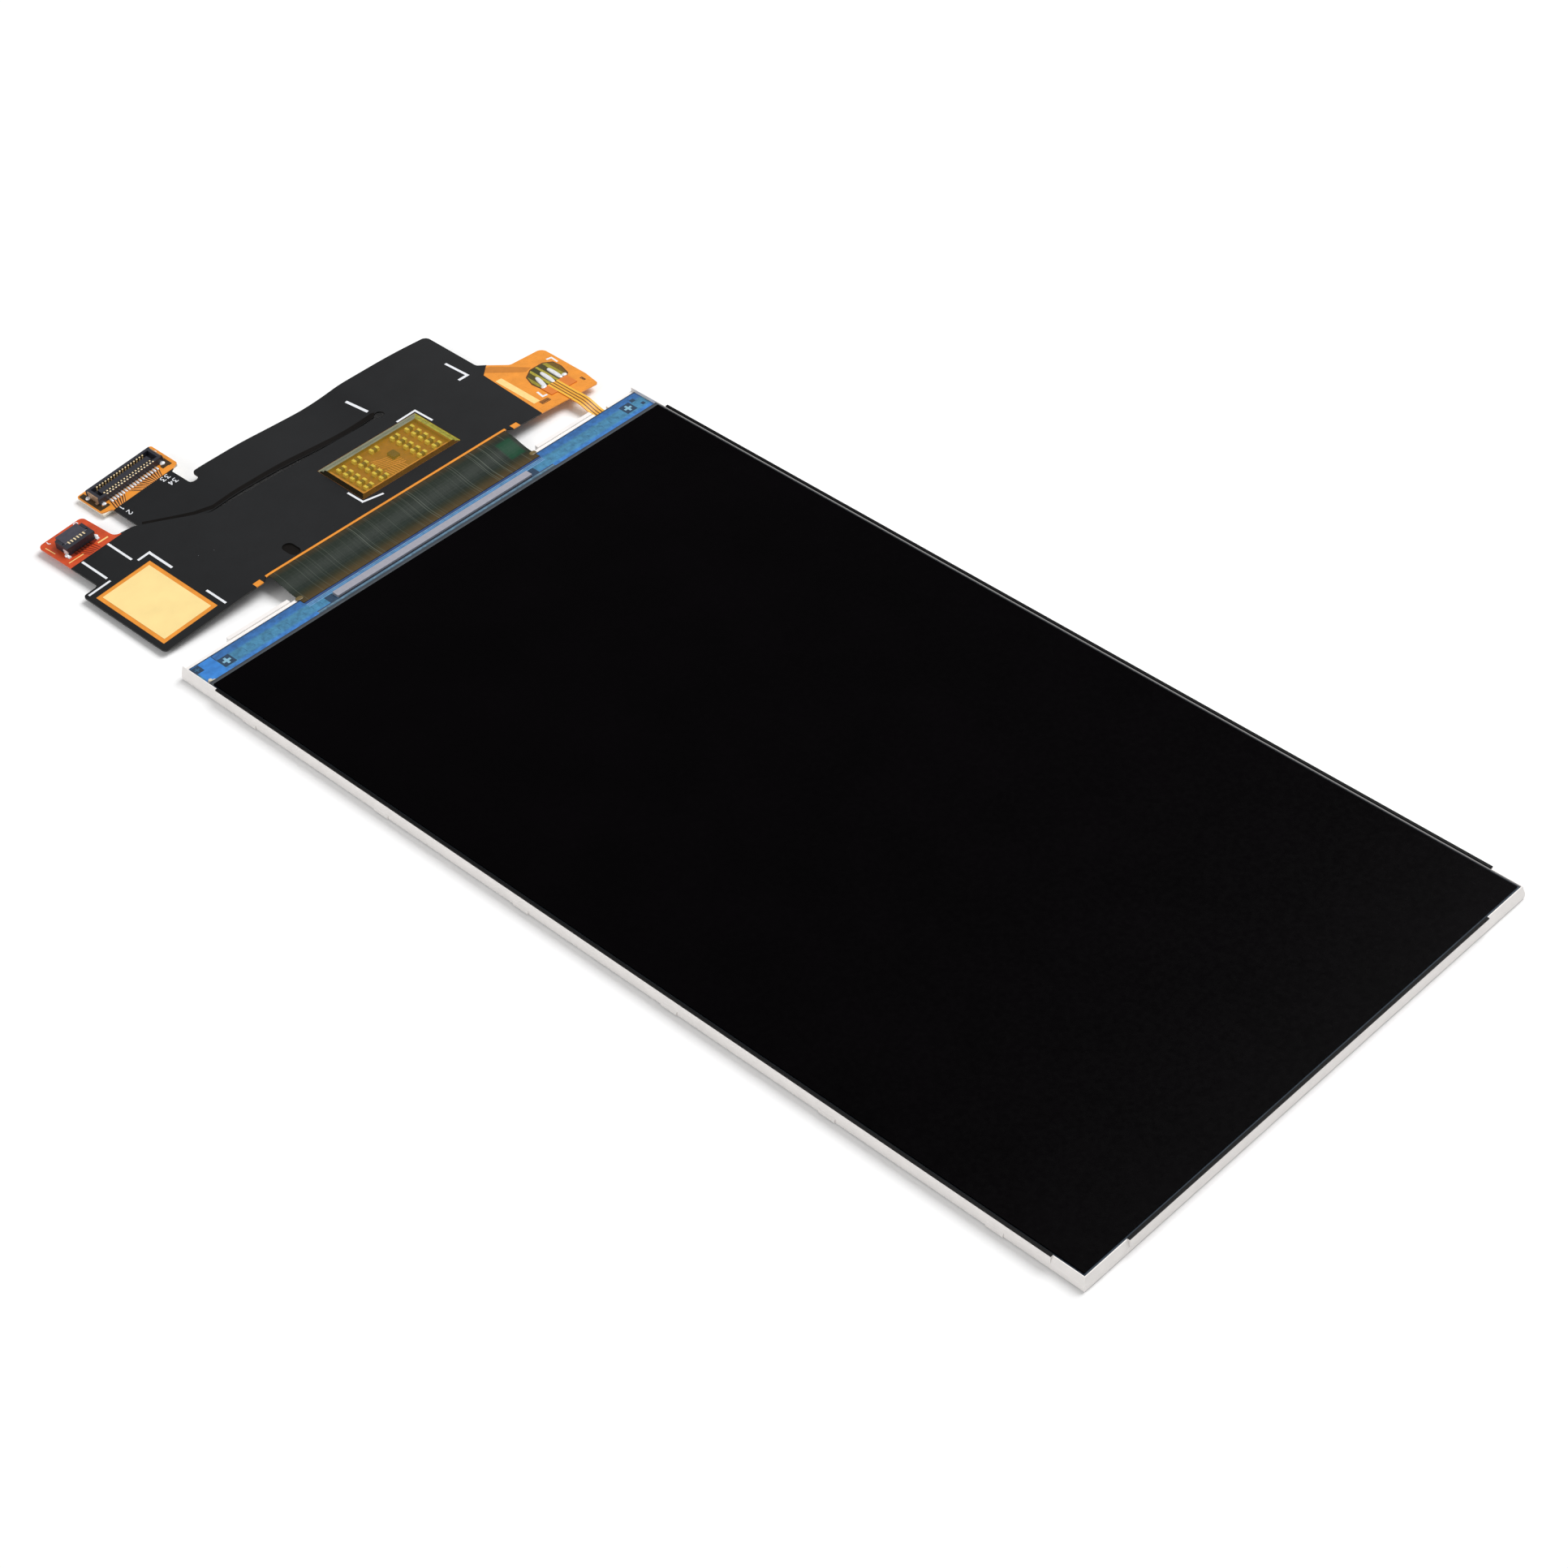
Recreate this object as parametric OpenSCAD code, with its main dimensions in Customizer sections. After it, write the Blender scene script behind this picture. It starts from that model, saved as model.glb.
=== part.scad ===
// Liquid crystal display module for a hand-held phone, lying face up.
// The origin is the centre of the viewing face, projected on the rear face.
// +X is across the width, +Y along the length towards the flexible circuit, +Z out of the screen.

/* [Display cell] */
// Width of the front polariser, which is the dark viewing face
view_w = 63.6; // [58:0.1:70]
// Length of the front polariser
view_l = 113.4; // [105:0.1:125]
// Thickness of the front polariser
front_pol_t = 0.16; // [0.1:0.01:0.25]
// Thickness of the rear polariser
rear_pol_t = 0.12; // [0.08:0.01:0.2]
// Thickness of each sheet of glass
glass_t = 0.25; // [0.2:0.01:0.4]
// Glass beyond the front polariser on the three plain sides
glass_margin = 0.25; // [0.15:0.01:0.35]
// Colour filter glass beyond the front polariser on the ledge side
ledge_margin = 0.6; // [0.3:0.05:1]
// Bare ledge of the array glass that carries the driver chip
ledge_l = 3.4; // [3:0.1:5]
// Thickness of the liquid crystal layer, drawn thicker than the real few microns
crystal_t = 0.02; // [0.01:0.01:0.04]
// Width of the glue seal around the liquid crystal
seal_w = 0.7; // [0.5:0.05:1.2]
// Thickness of the blue sealing varnish on the ledge
varnish_t = 0.03; // [0.02:0.01:0.06]

/* [Backlight] */
// Thickness of the reflector sheet on the rear face
reflector_t = 0.1; // [0.06:0.01:0.2]
// Reflector set back from the outside of the mould frame
reflector_inset = 0.3; // [0.1:0.05:0.6]
// Thickness of the light guide plate
guide_t = 0.45; // [0.35:0.01:0.6]
// Light guide plate set back from the edge of the glass
guide_inset = 0.45; // [0.3:0.05:0.7]
// Thickness of the diffuser film
diffuser_t = 0.06; // [0.04:0.01:0.1]
// Thickness of each prism film
prism_t = 0.07; // [0.05:0.01:0.1]
// Thickness of the black rim tape under the cell
rim_tape_t = 0.05; // [0.03:0.01:0.08]
// Width of the black rim tape along the sides
rim_tape_w = 0.7; // [0.5:0.05:1]
// Number of light-emitting diodes under the ledge
led_count = 10; // [6:1:12]
// Length of one diode package
led_l = 3; // [2.4:0.1:3.8]
// Depth of one diode package
led_d = 0.8; // [0.6:0.05:1]
// Height of one diode package
led_h = 0.38; // [0.3:0.01:0.4]
// Thickness of the diode strip circuit
led_flex_t = 0.13; // [0.1:0.01:0.15]

/* [Mould frame] */
// Thickness of the frame's side wall beside the glass
frame_wall = 0.33; // [0.3:0.01:0.6]
// Thickness of the frame's low wall behind the ledge
end_wall = 0.43; // [0.35:0.01:0.8]
// Gap between the glass and the frame wall
glass_fit = 0.02; // [0.01:0.01:0.05]
// Gap between the light guide plate and the frame
guide_fit = 0.05; // [0.03:0.01:0.1]
// Length of a bare corner block along the long side, at the plain end
corner_l = 3.8; // [3:0.1:6]
// Length of a bare corner block along the short side
corner_w = 6; // [4:0.1:9]
// Length of a bare corner block along the long side, at the ledge end
ledge_corner_l = 5.4; // [4.5:0.1:7]
// Width of the slope on the outside of a corner block
corner_slope_w = 0.25; // [0.1:0.01:0.28]
// Height of the slope on the outside of a corner block
corner_slope_h = 0.95; // [0.4:0.05:1.1]
// Number of snap nubs on each long side
nub_count = 6; // [2:1:8]
// Distance between snap nubs
nub_pitch = 19.6; // [12:0.1:19.8]
// Length of a snap nub
nub_l = 2; // [1:0.1:3]
// Height of a snap nub
nub_h = 0.5; // [0.3:0.05:0.8]
// How far a snap nub stands out of the wall
nub_out = 0.1; // [0.05:0.01:0.15]
// Depth of the two bars behind the ledge, beside the flexible circuit
bar_d = 0.5; // [0.3:0.05:1]
// Height of the two bars above the rear of the frame
bar_h = 1.2; // [0.5:0.05:1.3]
// Length of the two bars
bar_l = 8.2; // [4:0.1:8.4]

/* [Edge tapes] */
// Black tape on top of the frame wall, set back from the wall's outer face
edge_tape_inset = 0.02; // [0:0.01:0.1]
// Thickness of the black tape on top of the frame wall
edge_tape_t = 0.15; // [0.05:0.01:0.2]

/* [Driver chip] */
// Length of the driver chip
chip_l = 27.8; // [20:0.1:30]
// Width of the driver chip
chip_w = 0.9; // [0.7:0.05:1.1]
// Thickness of the driver chip
chip_t = 0.3; // [0.2:0.01:0.35]
// Gap between the colour filter glass and the driver chip
chip_gap = 0.75; // [0.5:0.05:0.9]

/* [Bond stretch] */
// Width of the bonded single-layer stretch of the flexible circuit
bond_w = 33.8; // [28:0.1:35]
// Overlap of the bonded stretch on the ledge
bond_overlap = 0.7; // [0.5:0.05:1.1]
// Thickness of the bonded stretch
bond_t = 0.06; // [0.04:0.01:0.08]
// Thickness of the conductive bonding film
bond_film_t = 0.03; // [0.02:0.01:0.05]
// Free length of the bonded stretch between the glass and the main flexible circuit
bond_free = 4.8; // [3:0.1:7]

/* [Flexible circuit] */
// Height of the top of the base film in the middle, above the rear face
sheet_z = 1.88; // [1.6:0.02:2.2]
// Thickness of the base film with its copper
base_t = 0.12; // [0.1:0.01:0.15]
// Thickness of each black cover film
cover_t = 0.03; // [0.02:0.01:0.05]
// Half width of the level middle, beyond which both wings droop
level_half = 18; // [17:0.1:19]
// Droop angle of the left wing
left_droop = 5; // [3:0.1:6]
// Droop angle of the right wing
right_droop = 4; // [2:0.1:5]
// Slope angle of the connector end of the arm
arm_slope = 6; // [4:0.1:6.5]
// Left edge of the left wing, from the centre line
left_edge = 31.3; // [30.5:0.1:32]
// Right edge of the right tab, from the centre line
right_edge = 31.2; // [29:0.1:32]
// Depth of the left wing, along the length of the module
wing_d = 13.3; // [12.5:0.1:14]
// Distance from the near edge of the wings to the slit
slit_y = 13.15; // [12.5:0.05:14]
// Width of the slit between the body and the arm
slit_w = 0.55; // [0.3:0.05:0.7]
// Slant of the slit: its round end lies nearer the module by this much
slit_fall = 0.65; // [0:0.05:0.8]
// Distance of the slit's round end from the centre line
slit_end = 9.7; // [8:0.1:11]
// Radius of the round end of the slit
slit_r = 0.6; // [0.4:0.05:0.8]
// Width of the arm, from the slit to its far edge
arm_w = 6.5; // [6:0.1:8]
// Right edge of the arm, from the centre line
arm_right = 23.45; // [22.5:0.05:24.5]
// Depth of the right tab, along the length of the module
right_tab_d = 9.45; // [9:0.05:10.5]
// Length of the slot hole in the body
slot_l = 2.3; // [1.5:0.1:2.6]
// Width of the slot hole in the body
slot_w = 1.4; // [0.8:0.1:1.6]

/* [Board connector] */
// Number of contacts in each of the two rows
board_contacts_n = 17; // [10:1:18]
// Distance between neighbouring contacts
board_pitch = 0.4; // [0.35:0.01:0.42]
// Length of the connector body beyond each end contact
board_end = 1.25; // [1.1:0.05:1.4]
// Depth of the connector body
board_d = 2.4; // [2.2:0.05:2.6]
// Height of the connector body
board_h = 0.8; // [0.7:0.05:1]
// Thickness of the long walls of the connector body
board_wall = 0.38; // [0.32:0.01:0.45]
// Width of the island in the middle of the connector body
board_island = 0.8; // [0.6:0.05:0.9]
// Thickness of the contact metal
contact_t = 0.08; // [0.06:0.01:0.1]
// Width of a contact of the board connector
contact_w = 0.16; // [0.12:0.01:0.2]
// Length of a solder tail beyond the connector body
tail_l = 0.5; // [0.3:0.05:0.6]
// Width of the connector tab of the flexible circuit
board_tab_w = 10.4; // [10:0.1:11.5]
// Depth of the connector tab of the flexible circuit
board_tab_d = 4.7; // [4.4:0.1:5]
// Distance of the connector's centre to the left of the centre line
board_x = 15.9; // [15.5:0.1:16.3]
// Thickness of the stiffener under the connector tab
board_stiff_t = 0.25; // [0.1:0.01:0.25]

/* [Key connector] */
// Number of contacts of the key connector
key_contacts_n = 6; // [4:1:6]
// Distance between neighbouring contacts of the key connector
key_pitch = 0.4; // [0.4:0.01:0.5]
// Width of the connector body beyond each end contact
key_end = 0.85; // [0.8:0.05:1]
// Depth of the key connector, with its flip lock closed
key_d = 2.5; // [2.3:0.1:2.7]
// Flip lock beyond the rear of the connector body
lock_over = 0.4; // [0.2:0.05:0.5]
// Height of the connector body
key_h = 1; // [0.95:0.01:1.2]
// Thickness of the flip lock
lock_t = 0.34; // [0.3:0.01:0.38]
// Running gap around the flip lock
lock_gap = 0.04; // [0.03:0.01:0.05]
// Radius of the flip lock's pivot pins
pivot_r = 0.12; // [0.1:0.01:0.13]
// Length of the flip lock's pivot pins
pivot_l = 0.18; // [0.1:0.01:0.2]
// Width of the key connector's tab of the flexible circuit
key_tab_w = 6; // [5.6:0.1:6.4]
// Length of the key connector's tab of the flexible circuit
key_tab_l = 5.3; // [5:0.1:6]
// Distance of the key connector's centre to the left of the centre line
key_x = 26.45; // [26.2:0.05:26.8]
// Thickness of the stiffener under the key connector's tab
key_stiff_t = 0.15; // [0.1:0.01:0.2]

/* [Pads and underside parts] */
// Width of the gold shielding pad on the left wing
pad_w = 6.3; // [5:0.1:6.8]
// Length of the gold shielding pad on the left wing
pad_l = 10; // [8:0.1:10.8]
// Bare border of base film around the gold shielding pad
pad_border = 0.5; // [0.2:0.05:0.7]
// Width of the amber tape over the capacitors
window_w = 14.1; // [13:0.1:15]
// Length of the amber tape over the capacitors
window_l = 7.3; // [7:0.1:8]
// Thickness of the amber tape
window_t = 0.06; // [0.05:0.01:0.08]
// Width of the slope where the tape comes down to the base film
window_slope = 0.5; // [0.3:0.05:0.6]
// Thickness of the stiffener under the capacitors
field_stiff_t = 0.15; // [0.1:0.01:0.2]
// Length of a chip capacitor
cap_l = 1.05; // [0.9:0.05:1.1]
// Width of a chip capacitor
cap_w = 0.5; // [0.4:0.02:0.56]
// Height of a chip capacitor
cap_h = 0.4; // [0.3:0.05:0.5]
// Distance between neighbouring capacitors in a column
cap_pitch = 1.09; // [1:0.01:1.12]

/* [Backlight tail] */
// Width of the backlight tail
tail_w = 1.6; // [1.2:0.1:1.8]
// Distance of the tail's centre to the right of the centre line
tail_x = 27.15; // [26.8:0.05:27.5]
// Thickness of the backlight tail
tail_t = 0.1; // [0.06:0.01:0.12]
// Width of the tail's head, which carries the solder joints
head_w = 3.9; // [3.5:0.1:4.2]
// Length of the tail's head
head_l = 1.7; // [1.5:0.1:2.4]
// Length of the narrow tail on top of the right tab
tail_lap = 1.8; // [1.4:0.1:2.2]
// Distance between the tail's solder joints
joint_pitch = 1.2; // [1:0.05:1.3]
// Width of one solder joint
joint_w = 0.55; // [0.4:0.05:0.7]
// Length of one solder joint
joint_l = 2.1; // [1.6:0.1:2.4]
// Height of one solder joint
joint_t = 0.14; // [0.1:0.01:0.2]

/* [Hidden] */
$fn = 32;
eps = 0.01;

// Heights of the layers above the rear face
guide_z = reflector_t;
diffuser_z = guide_z + guide_t;
lower_prism_z = diffuser_z + diffuser_t;
upper_prism_z = lower_prism_z + prism_t;
shelf_z = upper_prism_z + prism_t;
rear_pol_z = shelf_z + rim_tape_t;
array_z = rear_pol_z + rear_pol_t;
ledge_z = array_z + glass_t;
filter_z = ledge_z + crystal_t;
front_pol_z = filter_z + glass_t;
face_z = front_pol_z + front_pol_t;

// Half widths and ends of the cell in plan
glass_x = view_w / 2 + glass_margin;
glass_near = -view_l / 2 - glass_margin;
filter_end = view_l / 2 + ledge_margin;
array_end = filter_end + ledge_l;

// Mould frame in plan
frame_x = glass_x + glass_fit + frame_wall;
frame_near = glass_near - glass_fit - frame_wall;
frame_end = array_end + glass_fit + end_wall;
guide_x = glass_x - guide_inset;
guide_near = glass_near + guide_inset;
guide_end = view_l / 2 + 0.25;
led_bay_end = array_end - 0.5;
led_flex_z = shelf_z - led_flex_t;
led_pitch = (2 * guide_x - led_l - 1) / (led_count - 1);

// Flexible circuit in plan: the near edge of its wings and lines counted from it
bond_start = array_end - bond_overlap;
body_near = array_end + bond_free;
wing_near = body_near - 0.45;
wing_far = wing_near + wing_d;
slit_near = wing_near + slit_y;
slit_far = slit_near + slit_w;
arm_far = slit_far + arm_w;
right_tab_far = wing_near + right_tab_d;
cover_right = 22.4;
key_neck_far = wing_far + 4.6;
key_tab_far = key_neck_far + key_tab_l;
board_neck_far = arm_far + 2.3;
board_tab_far = board_neck_far + board_tab_d;
key_y = key_tab_far - 2.6;
board_y = board_tab_far - 0.8 - board_d / 2;
pad_x = -left_edge + 1.2 + pad_w / 2;
pad_y = wing_near + 1.55 + pad_l / 2;
window_x = 5.45;
window_y = wing_near + 6.4;
cap_columns = [-5.3, -3.1, 2.45, 4.6];
cap_row_y = -0.42;
slot_x = -12.4;
slot_y = wing_near + 2;

// Height profiles of the top of the base film, as [x, z]; the sheet bends about lines along Y only
left_reach = left_edge + 0.7;
right_reach = right_edge + 1.8;
left_tip_z = sheet_z - (left_reach - level_half) * tan(left_droop);
right_tip_z = sheet_z - (right_reach - level_half) * tan(right_droop);
body_profile = [[-left_reach, left_tip_z], [-level_half, sheet_z], [level_half, sheet_z],
                [right_reach, right_tip_z]];
arm_high_x = -10;
arm_low_x = -23;
arm_low_z = sheet_z - 0.05 - (arm_high_x - arm_low_x) * tan(arm_slope);
arm_profile = [[arm_low_x, arm_low_z], [arm_high_x, sheet_z - 0.05], [-4, sheet_z],
               [0, sheet_z - 0.25], [5, sheet_z - 0.5], [8, sheet_z - 0.3], [10.25, sheet_z],
               [level_half, sheet_z], [right_reach, right_tip_z]];

// Depth and height of the tools that cut the sheet to its plan outline
sheet_far = board_tab_far + 2 * board_tab_d;
sheet_depth = sheet_far - array_end;
plan_low = -2 * sheet_z;
plan_h = 6 * sheet_z;

function body_z(x) = lookup(x, body_profile);
function arm_z(x) = lookup(x, arm_profile);

// Points of the fillet of radius r at corner b between a and c
function fillet(a, b, c, r, n) =
    let (u = (a - b) / norm(a - b), v = (c - b) / norm(c - b), half = acos(u * v) / 2,
         mid = b + (u + v) / norm(u + v) * r / sin(half),
         p = b + u * r / tan(half) - mid, q = b + v * r / tan(half) - mid,
         from = atan2(p.y, p.x), turn = atan2(p.x * q.y - p.y * q.x, p * q))
    [for (i = [0:n]) mid + r * [cos(from + turn * i / n), sin(from + turn * i / n)]];

// Outline from corners given as [x, y, fillet radius]
function rounded(corners, n = 5) =
    let (m = len(corners))
    [for (i = [0:m - 1])
        let (a = corners[(i + m - 1) % m], b = corners[i], c = corners[(i + 1) % m])
        each (b[2] == 0 ? [[b.x, b.y]] : fillet([a.x, a.y], [b.x, b.y], [c.x, c.y], b[2], n))];

// Box between two corners
module block(low, high) {
    translate(low) cube(high - low);
}

// Closed ring between an outer and an inner rectangle in plan
module ring(low, high, inner_low, inner_high, z, t) {
    difference() {
        block([low.x, low.y, z], [high.x, high.y, z + t]);
        block([inner_low.x, inner_low.y, z - 1], [inner_high.x, inner_high.y, z + t + 1]);
    }
}

// Sheet that follows a height profile, its top raised by lift above the profile
module sheet(profile, lift, t) {
    top = [for (p = profile) [p.x, p.y + lift]];
    under = [for (i = [len(profile) - 1:-1:0]) [profile[i].x, profile[i].y + lift - t]];
    translate([0, sheet_far, 0]) rotate([90, 0, 0]) linear_extrude(sheet_depth) polygon(concat(top, under));
}

// Part of such a sheet inside a plan outline, given as the child
module on_sheet(profile, lift, t) {
    intersection() {
        sheet(profile, lift, t);
        translate([0, 0, plan_low]) linear_extrude(plan_h) children();
    }
}

// Places its children on the body of the flexible circuit, turned with the left wing
module on_left_wing(x, y, lift = 0) {
    translate([x, y, body_z(x)]) rotate([0, -left_droop, 0]) translate([0, 0, lift]) children();
}

// Places its children on the sloping end of the arm
module on_arm(x, y, lift = 0) {
    translate([x, y, arm_z(x)]) rotate([0, -arm_slope, 0]) translate([0, 0, lift]) children();
}

// Extrudes a profile drawn in Y and Z along X, centred on X
module along_x(w) {
    rotate([90, 0, 90]) translate([0, 0, -w / 2]) linear_extrude(w) children();
}

// Plan outline of the body with its wings, the right tab and the key tab
module body_outline() {
    tab_left = -key_x - key_tab_w / 2;
    tab_right = -key_x + key_tab_w / 2;
    step_x = bond_w / 2 + 0.4;
    corners = [
        [-left_edge, wing_near, 0.5], [-step_x - 0.6, wing_near, 0.3], [-step_x, body_near, 0.2],
        [step_x, body_near, 0.2], [step_x + 0.6, wing_near, 0.3],
        [right_edge - 0.4, wing_near, 0.4], [right_edge, wing_near + 2.4, 1],
        [right_edge, right_tab_far, 0.8], [26.3, right_tab_far, 0.8],
        [arm_right + 1.1, right_tab_far + 1.6, 0.6], [arm_right, right_tab_far + 2.5, 0.6],
        [arm_right, slit_far + 0.45, 0], [slit_end + slit_r, slit_far + 0.45, 0],
        [slit_end + slit_r, slit_near - slit_fall, 0], [-14.2, slit_near, 1.5],
        [-21, slit_near + 4.5, 0.5], [tab_right + 0.3, slit_near + 4.9, 0.8],
        [tab_right, key_tab_far, 0.6], [tab_left, key_tab_far, 0.6],
        [tab_left + 0.2, wing_far, 0.5], [-left_edge, wing_far, 0.4]];
    difference() {
        polygon(rounded(corners));
        translate([slit_end, slit_near - slit_fall + slit_w / 2]) circle(r = slit_r);
    }
}

// Plan outline of the arm with the board connector's tab
module arm_outline() {
    tab_left = -board_x - board_tab_w / 2;
    tab_right = -board_x + board_tab_w / 2;
    neck_left = -board_x - 4;
    notch_r = 0.6;
    notch_x = -board_x + 4.55;
    neck_right = notch_x - notch_r - 0.05;
    corners = [
        [neck_left, board_neck_far, 0.2], [neck_left, slit_far + 4.4, 0.6],
        [-13.9, slit_far, 1.5], [slit_end + slit_r, slit_far - slit_fall, 0],
        [slit_end + slit_r, slit_far + 0.2, 0], [arm_right, slit_far + 0.2, 0],
        [arm_right, arm_far, 0.7], [notch_x + notch_r, arm_far, 0.5],
        [notch_x + notch_r, arm_far - 1.35, 0.5], [notch_x - notch_r, arm_far - 1.35, 0.5],
        [neck_right, board_neck_far - 0.4, 0.2], [tab_right, board_neck_far + 0.2, 0.3],
        [tab_right, board_tab_far, 0.3], [tab_left, board_tab_far, 0.3],
        [tab_left, board_neck_far + 0.5, 0.3]];
    difference() {
        polygon(rounded(corners));
        translate([slit_end, slit_near - slit_fall + slit_w / 2]) circle(r = slit_r);
    }
}

// Plan outline of the slot hole in the body
module slot_outline() {
    translate([slot_x, slot_y]) {
        for (s = [-1, 1]) translate([0, s * (slot_l - slot_w) / 2]) circle(d = slot_w);
        square([slot_w, slot_l - slot_w], center = true);
    }
}

// Plan outline of the bare border around the gold shielding pad
module pad_field(grow) {
    translate([pad_x, pad_y]) square([pad_w + 2 * grow, pad_l + 2 * grow], center = true);
}

// Plan outline of the bare right tab, whose cover film ends on a slanted line
module tab_bare() {
    far = wing_near + 9.9;
    polygon([[cover_right - 0.3, wing_near - 1], [cover_right + 0.3, far], [cover_right + 1.9, far + 1.3],
             [right_edge + 2, far + 1.3], [right_edge + 2, wing_near - 1]]);
}

// Plan outline of the bare key connector tab
module key_bare() {
    translate([-key_x - key_tab_w, key_neck_far - 0.2]) square([2 * key_tab_w, 2 * key_tab_l]);
}

// Plan outline of the bare board connector tab
module board_bare() {
    translate([-board_x - board_tab_w, board_neck_far - 0.2]) square([2 * board_tab_w, 2 * board_tab_d]);
}

// Plan outline of the step where the arm leaves the slit's round end
module arm_step() {
    translate([slit_end + slit_r, slit_far - 1]) square([arm_right, 1.45]);
}

// Plan outline of the amber tape
module window_field(grow) {
    translate([window_x, window_y]) square([window_w + 2 * grow, window_l + 2 * grow], center = true);
}

module rear_reflector() {
    color("gainsboro") block([-frame_x + reflector_inset, frame_near + reflector_inset, 0],
        [frame_x - reflector_inset, frame_end - reflector_inset, reflector_t]);
}

// Light guide with a shallow row of prism cuts along its lit edge
module light_guide() {
    color("aliceblue") difference() {
        block([-guide_x, guide_near, guide_z], [guide_x, guide_end, guide_z + guide_t]);
        for (i = [0:led_count - 1])
            translate([(i - (led_count - 1) / 2) * led_pitch, guide_end, guide_z - eps])
                linear_extrude(guide_t + 2 * eps)
                    polygon([[-led_l / 2, 0.1], [-led_l / 2, 0], [0, -0.15], [led_l / 2, 0],
                        [led_l / 2, 0.1]]);
    }
}

// Optical film over the light guide, with the small corner ears that locate it
module film(z, t) {
    ear_l = 2;
    ear_w = guide_fit * 0.6;
    block([-guide_x, guide_near, z], [guide_x, view_l / 2 - 0.1, z + t]);
    for (s = [-1, 1], y = [guide_near + 12, view_l / 2 - 14])
        block([s > 0 ? guide_x - eps : -guide_x - ear_w, y, z],
            [s > 0 ? guide_x + ear_w : -guide_x + eps, y + ear_l, z + t]);
}

module diffuser_film() {
    color("white") film(diffuser_z, diffuser_t);
}

module lower_prism_film() {
    color("lavender") film(lower_prism_z, prism_t);
}

module upper_prism_film() {
    color("lavender") film(upper_prism_z, prism_t);
}

module led_strip_flex() {
    color("orange") block([-guide_x + 0.2, view_l / 2 + 0.05, led_flex_z],
        [guide_x - 0.2, led_bay_end - guide_fit, shelf_z]);
}

module led_packages() {
    for (i = [0:led_count - 1])
        translate([(i - (led_count - 1) / 2) * led_pitch, guide_end + guide_fit, led_flex_z - led_h])
            color("khaki") difference() {
                block([-led_l / 2, 0, 0], [led_l / 2, led_d, led_h]);
                block([-led_l / 2 + 0.3, -eps, 0.07], [led_l / 2 - 0.3, 0.2, led_h - 0.07]);
            }
}

// Slope cut along the outside of a corner block, from the local origin along +Y
module corner_cut(l) {
    translate([0, l + eps, 0]) rotate([90, 0, 0]) linear_extrude(l + 2 * eps)
        polygon([[-corner_slope_w, face_z + eps], [eps, face_z + eps], [eps, face_z - corner_slope_h],
                 [0, face_z - corner_slope_h], [-corner_slope_w, face_z]]);
}

// Wedge that catches in the phone's chassis, standing out along +X
module snap_nub() {
    translate([0, nub_l / 2, reflector_t]) rotate([90, 0, 0]) linear_extrude(nub_l)
        polygon([[-eps, 0], [nub_out, 0], [nub_out, nub_h / 2], [-eps, nub_h]]);
}

// White moulded frame: shelf for the cell, bay for the diodes, low end wall and corner blocks
module mould_frame() {
    tail_gap = tail_w / 2 + 0.2;
    nub_mid = 1.7;
    color("whitesmoke") {
        difference() {
            union() {
                block([-frame_x, frame_near, reflector_t], [frame_x, frame_end, face_z]);
                for (x = [-bond_w / 2 - 0.9 - bar_l, bond_w / 2 + 0.9])
                    block([x, frame_end - eps, reflector_t],
                        [x + bar_l, frame_end + bar_d, reflector_t + bar_h]);
            }
            block([-glass_x - glass_fit, glass_near - glass_fit, shelf_z],
                [glass_x + glass_fit, array_end + glass_fit, face_z + 1]);
            block([-glass_x - glass_fit, array_end, ledge_z - glass_fit],
                [glass_x + glass_fit, frame_end, face_z + 1]);
            block([-guide_x - guide_fit, guide_near - guide_fit, -eps],
                [guide_x + guide_fit, led_bay_end, shelf_z + eps]);
            block([tail_x - tail_gap, led_bay_end - eps, led_flex_z - 0.1],
                [tail_x + tail_gap, frame_end + 1, face_z + 1]);
            for (s = [0, 1]) mirror([s, 0, 0]) {
                translate([frame_x, frame_near, 0]) corner_cut(corner_l);
                translate([frame_x, frame_end - ledge_corner_l, 0]) corner_cut(ledge_corner_l);
                translate([frame_x, frame_near, 0]) mirror([0, 1, 0]) rotate([0, 0, 90]) corner_cut(corner_w);
            }
        }
        for (s = [0, 1], i = [0:nub_count - 1])
            mirror([s, 0, 0])
                translate([frame_x, nub_mid + (i - (nub_count - 1) / 2) * nub_pitch, 0]) snap_nub();
    }
}

module rim_tape() {
    color("black") ring([-glass_x, glass_near], [glass_x, array_end - 0.1],
        [-glass_x + rim_tape_w, glass_near + 1.2],
            [glass_x - rim_tape_w, view_l / 2 - 1.2], shelf_z, rim_tape_t);
}

// Black tape strips on the wall tops between the bare corner blocks
module edge_tapes() {
    outer_x = frame_x - edge_tape_inset;
    outer_near = frame_near + edge_tape_inset;
    tape_w = frame_wall - edge_tape_inset;
    color("#141416") {
        for (s = [-1, 1])
            block([s > 0 ? outer_x - tape_w : -outer_x, frame_near + corner_l, face_z],
                [s > 0 ? outer_x : -outer_x + tape_w, frame_end - ledge_corner_l, face_z + edge_tape_t]);
        block([-frame_x + corner_w, outer_near, face_z],
            [frame_x - corner_w, outer_near + tape_w, face_z + edge_tape_t]);
    }
}

module rear_polariser() {
    color("#202028") block([-view_w / 2, -view_l / 2, rear_pol_z],
        [view_w / 2, view_l / 2, rear_pol_z + rear_pol_t]);
}

module array_glass() {
    color("steelblue") block([-glass_x, glass_near, array_z], [glass_x, array_end, ledge_z]);
}

module cell_seal() {
    color("tan") ring([-glass_x, glass_near], [glass_x, filter_end], [-glass_x + seal_w, glass_near + seal_w],
        [glass_x - seal_w, filter_end - seal_w], ledge_z, crystal_t);
}

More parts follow.
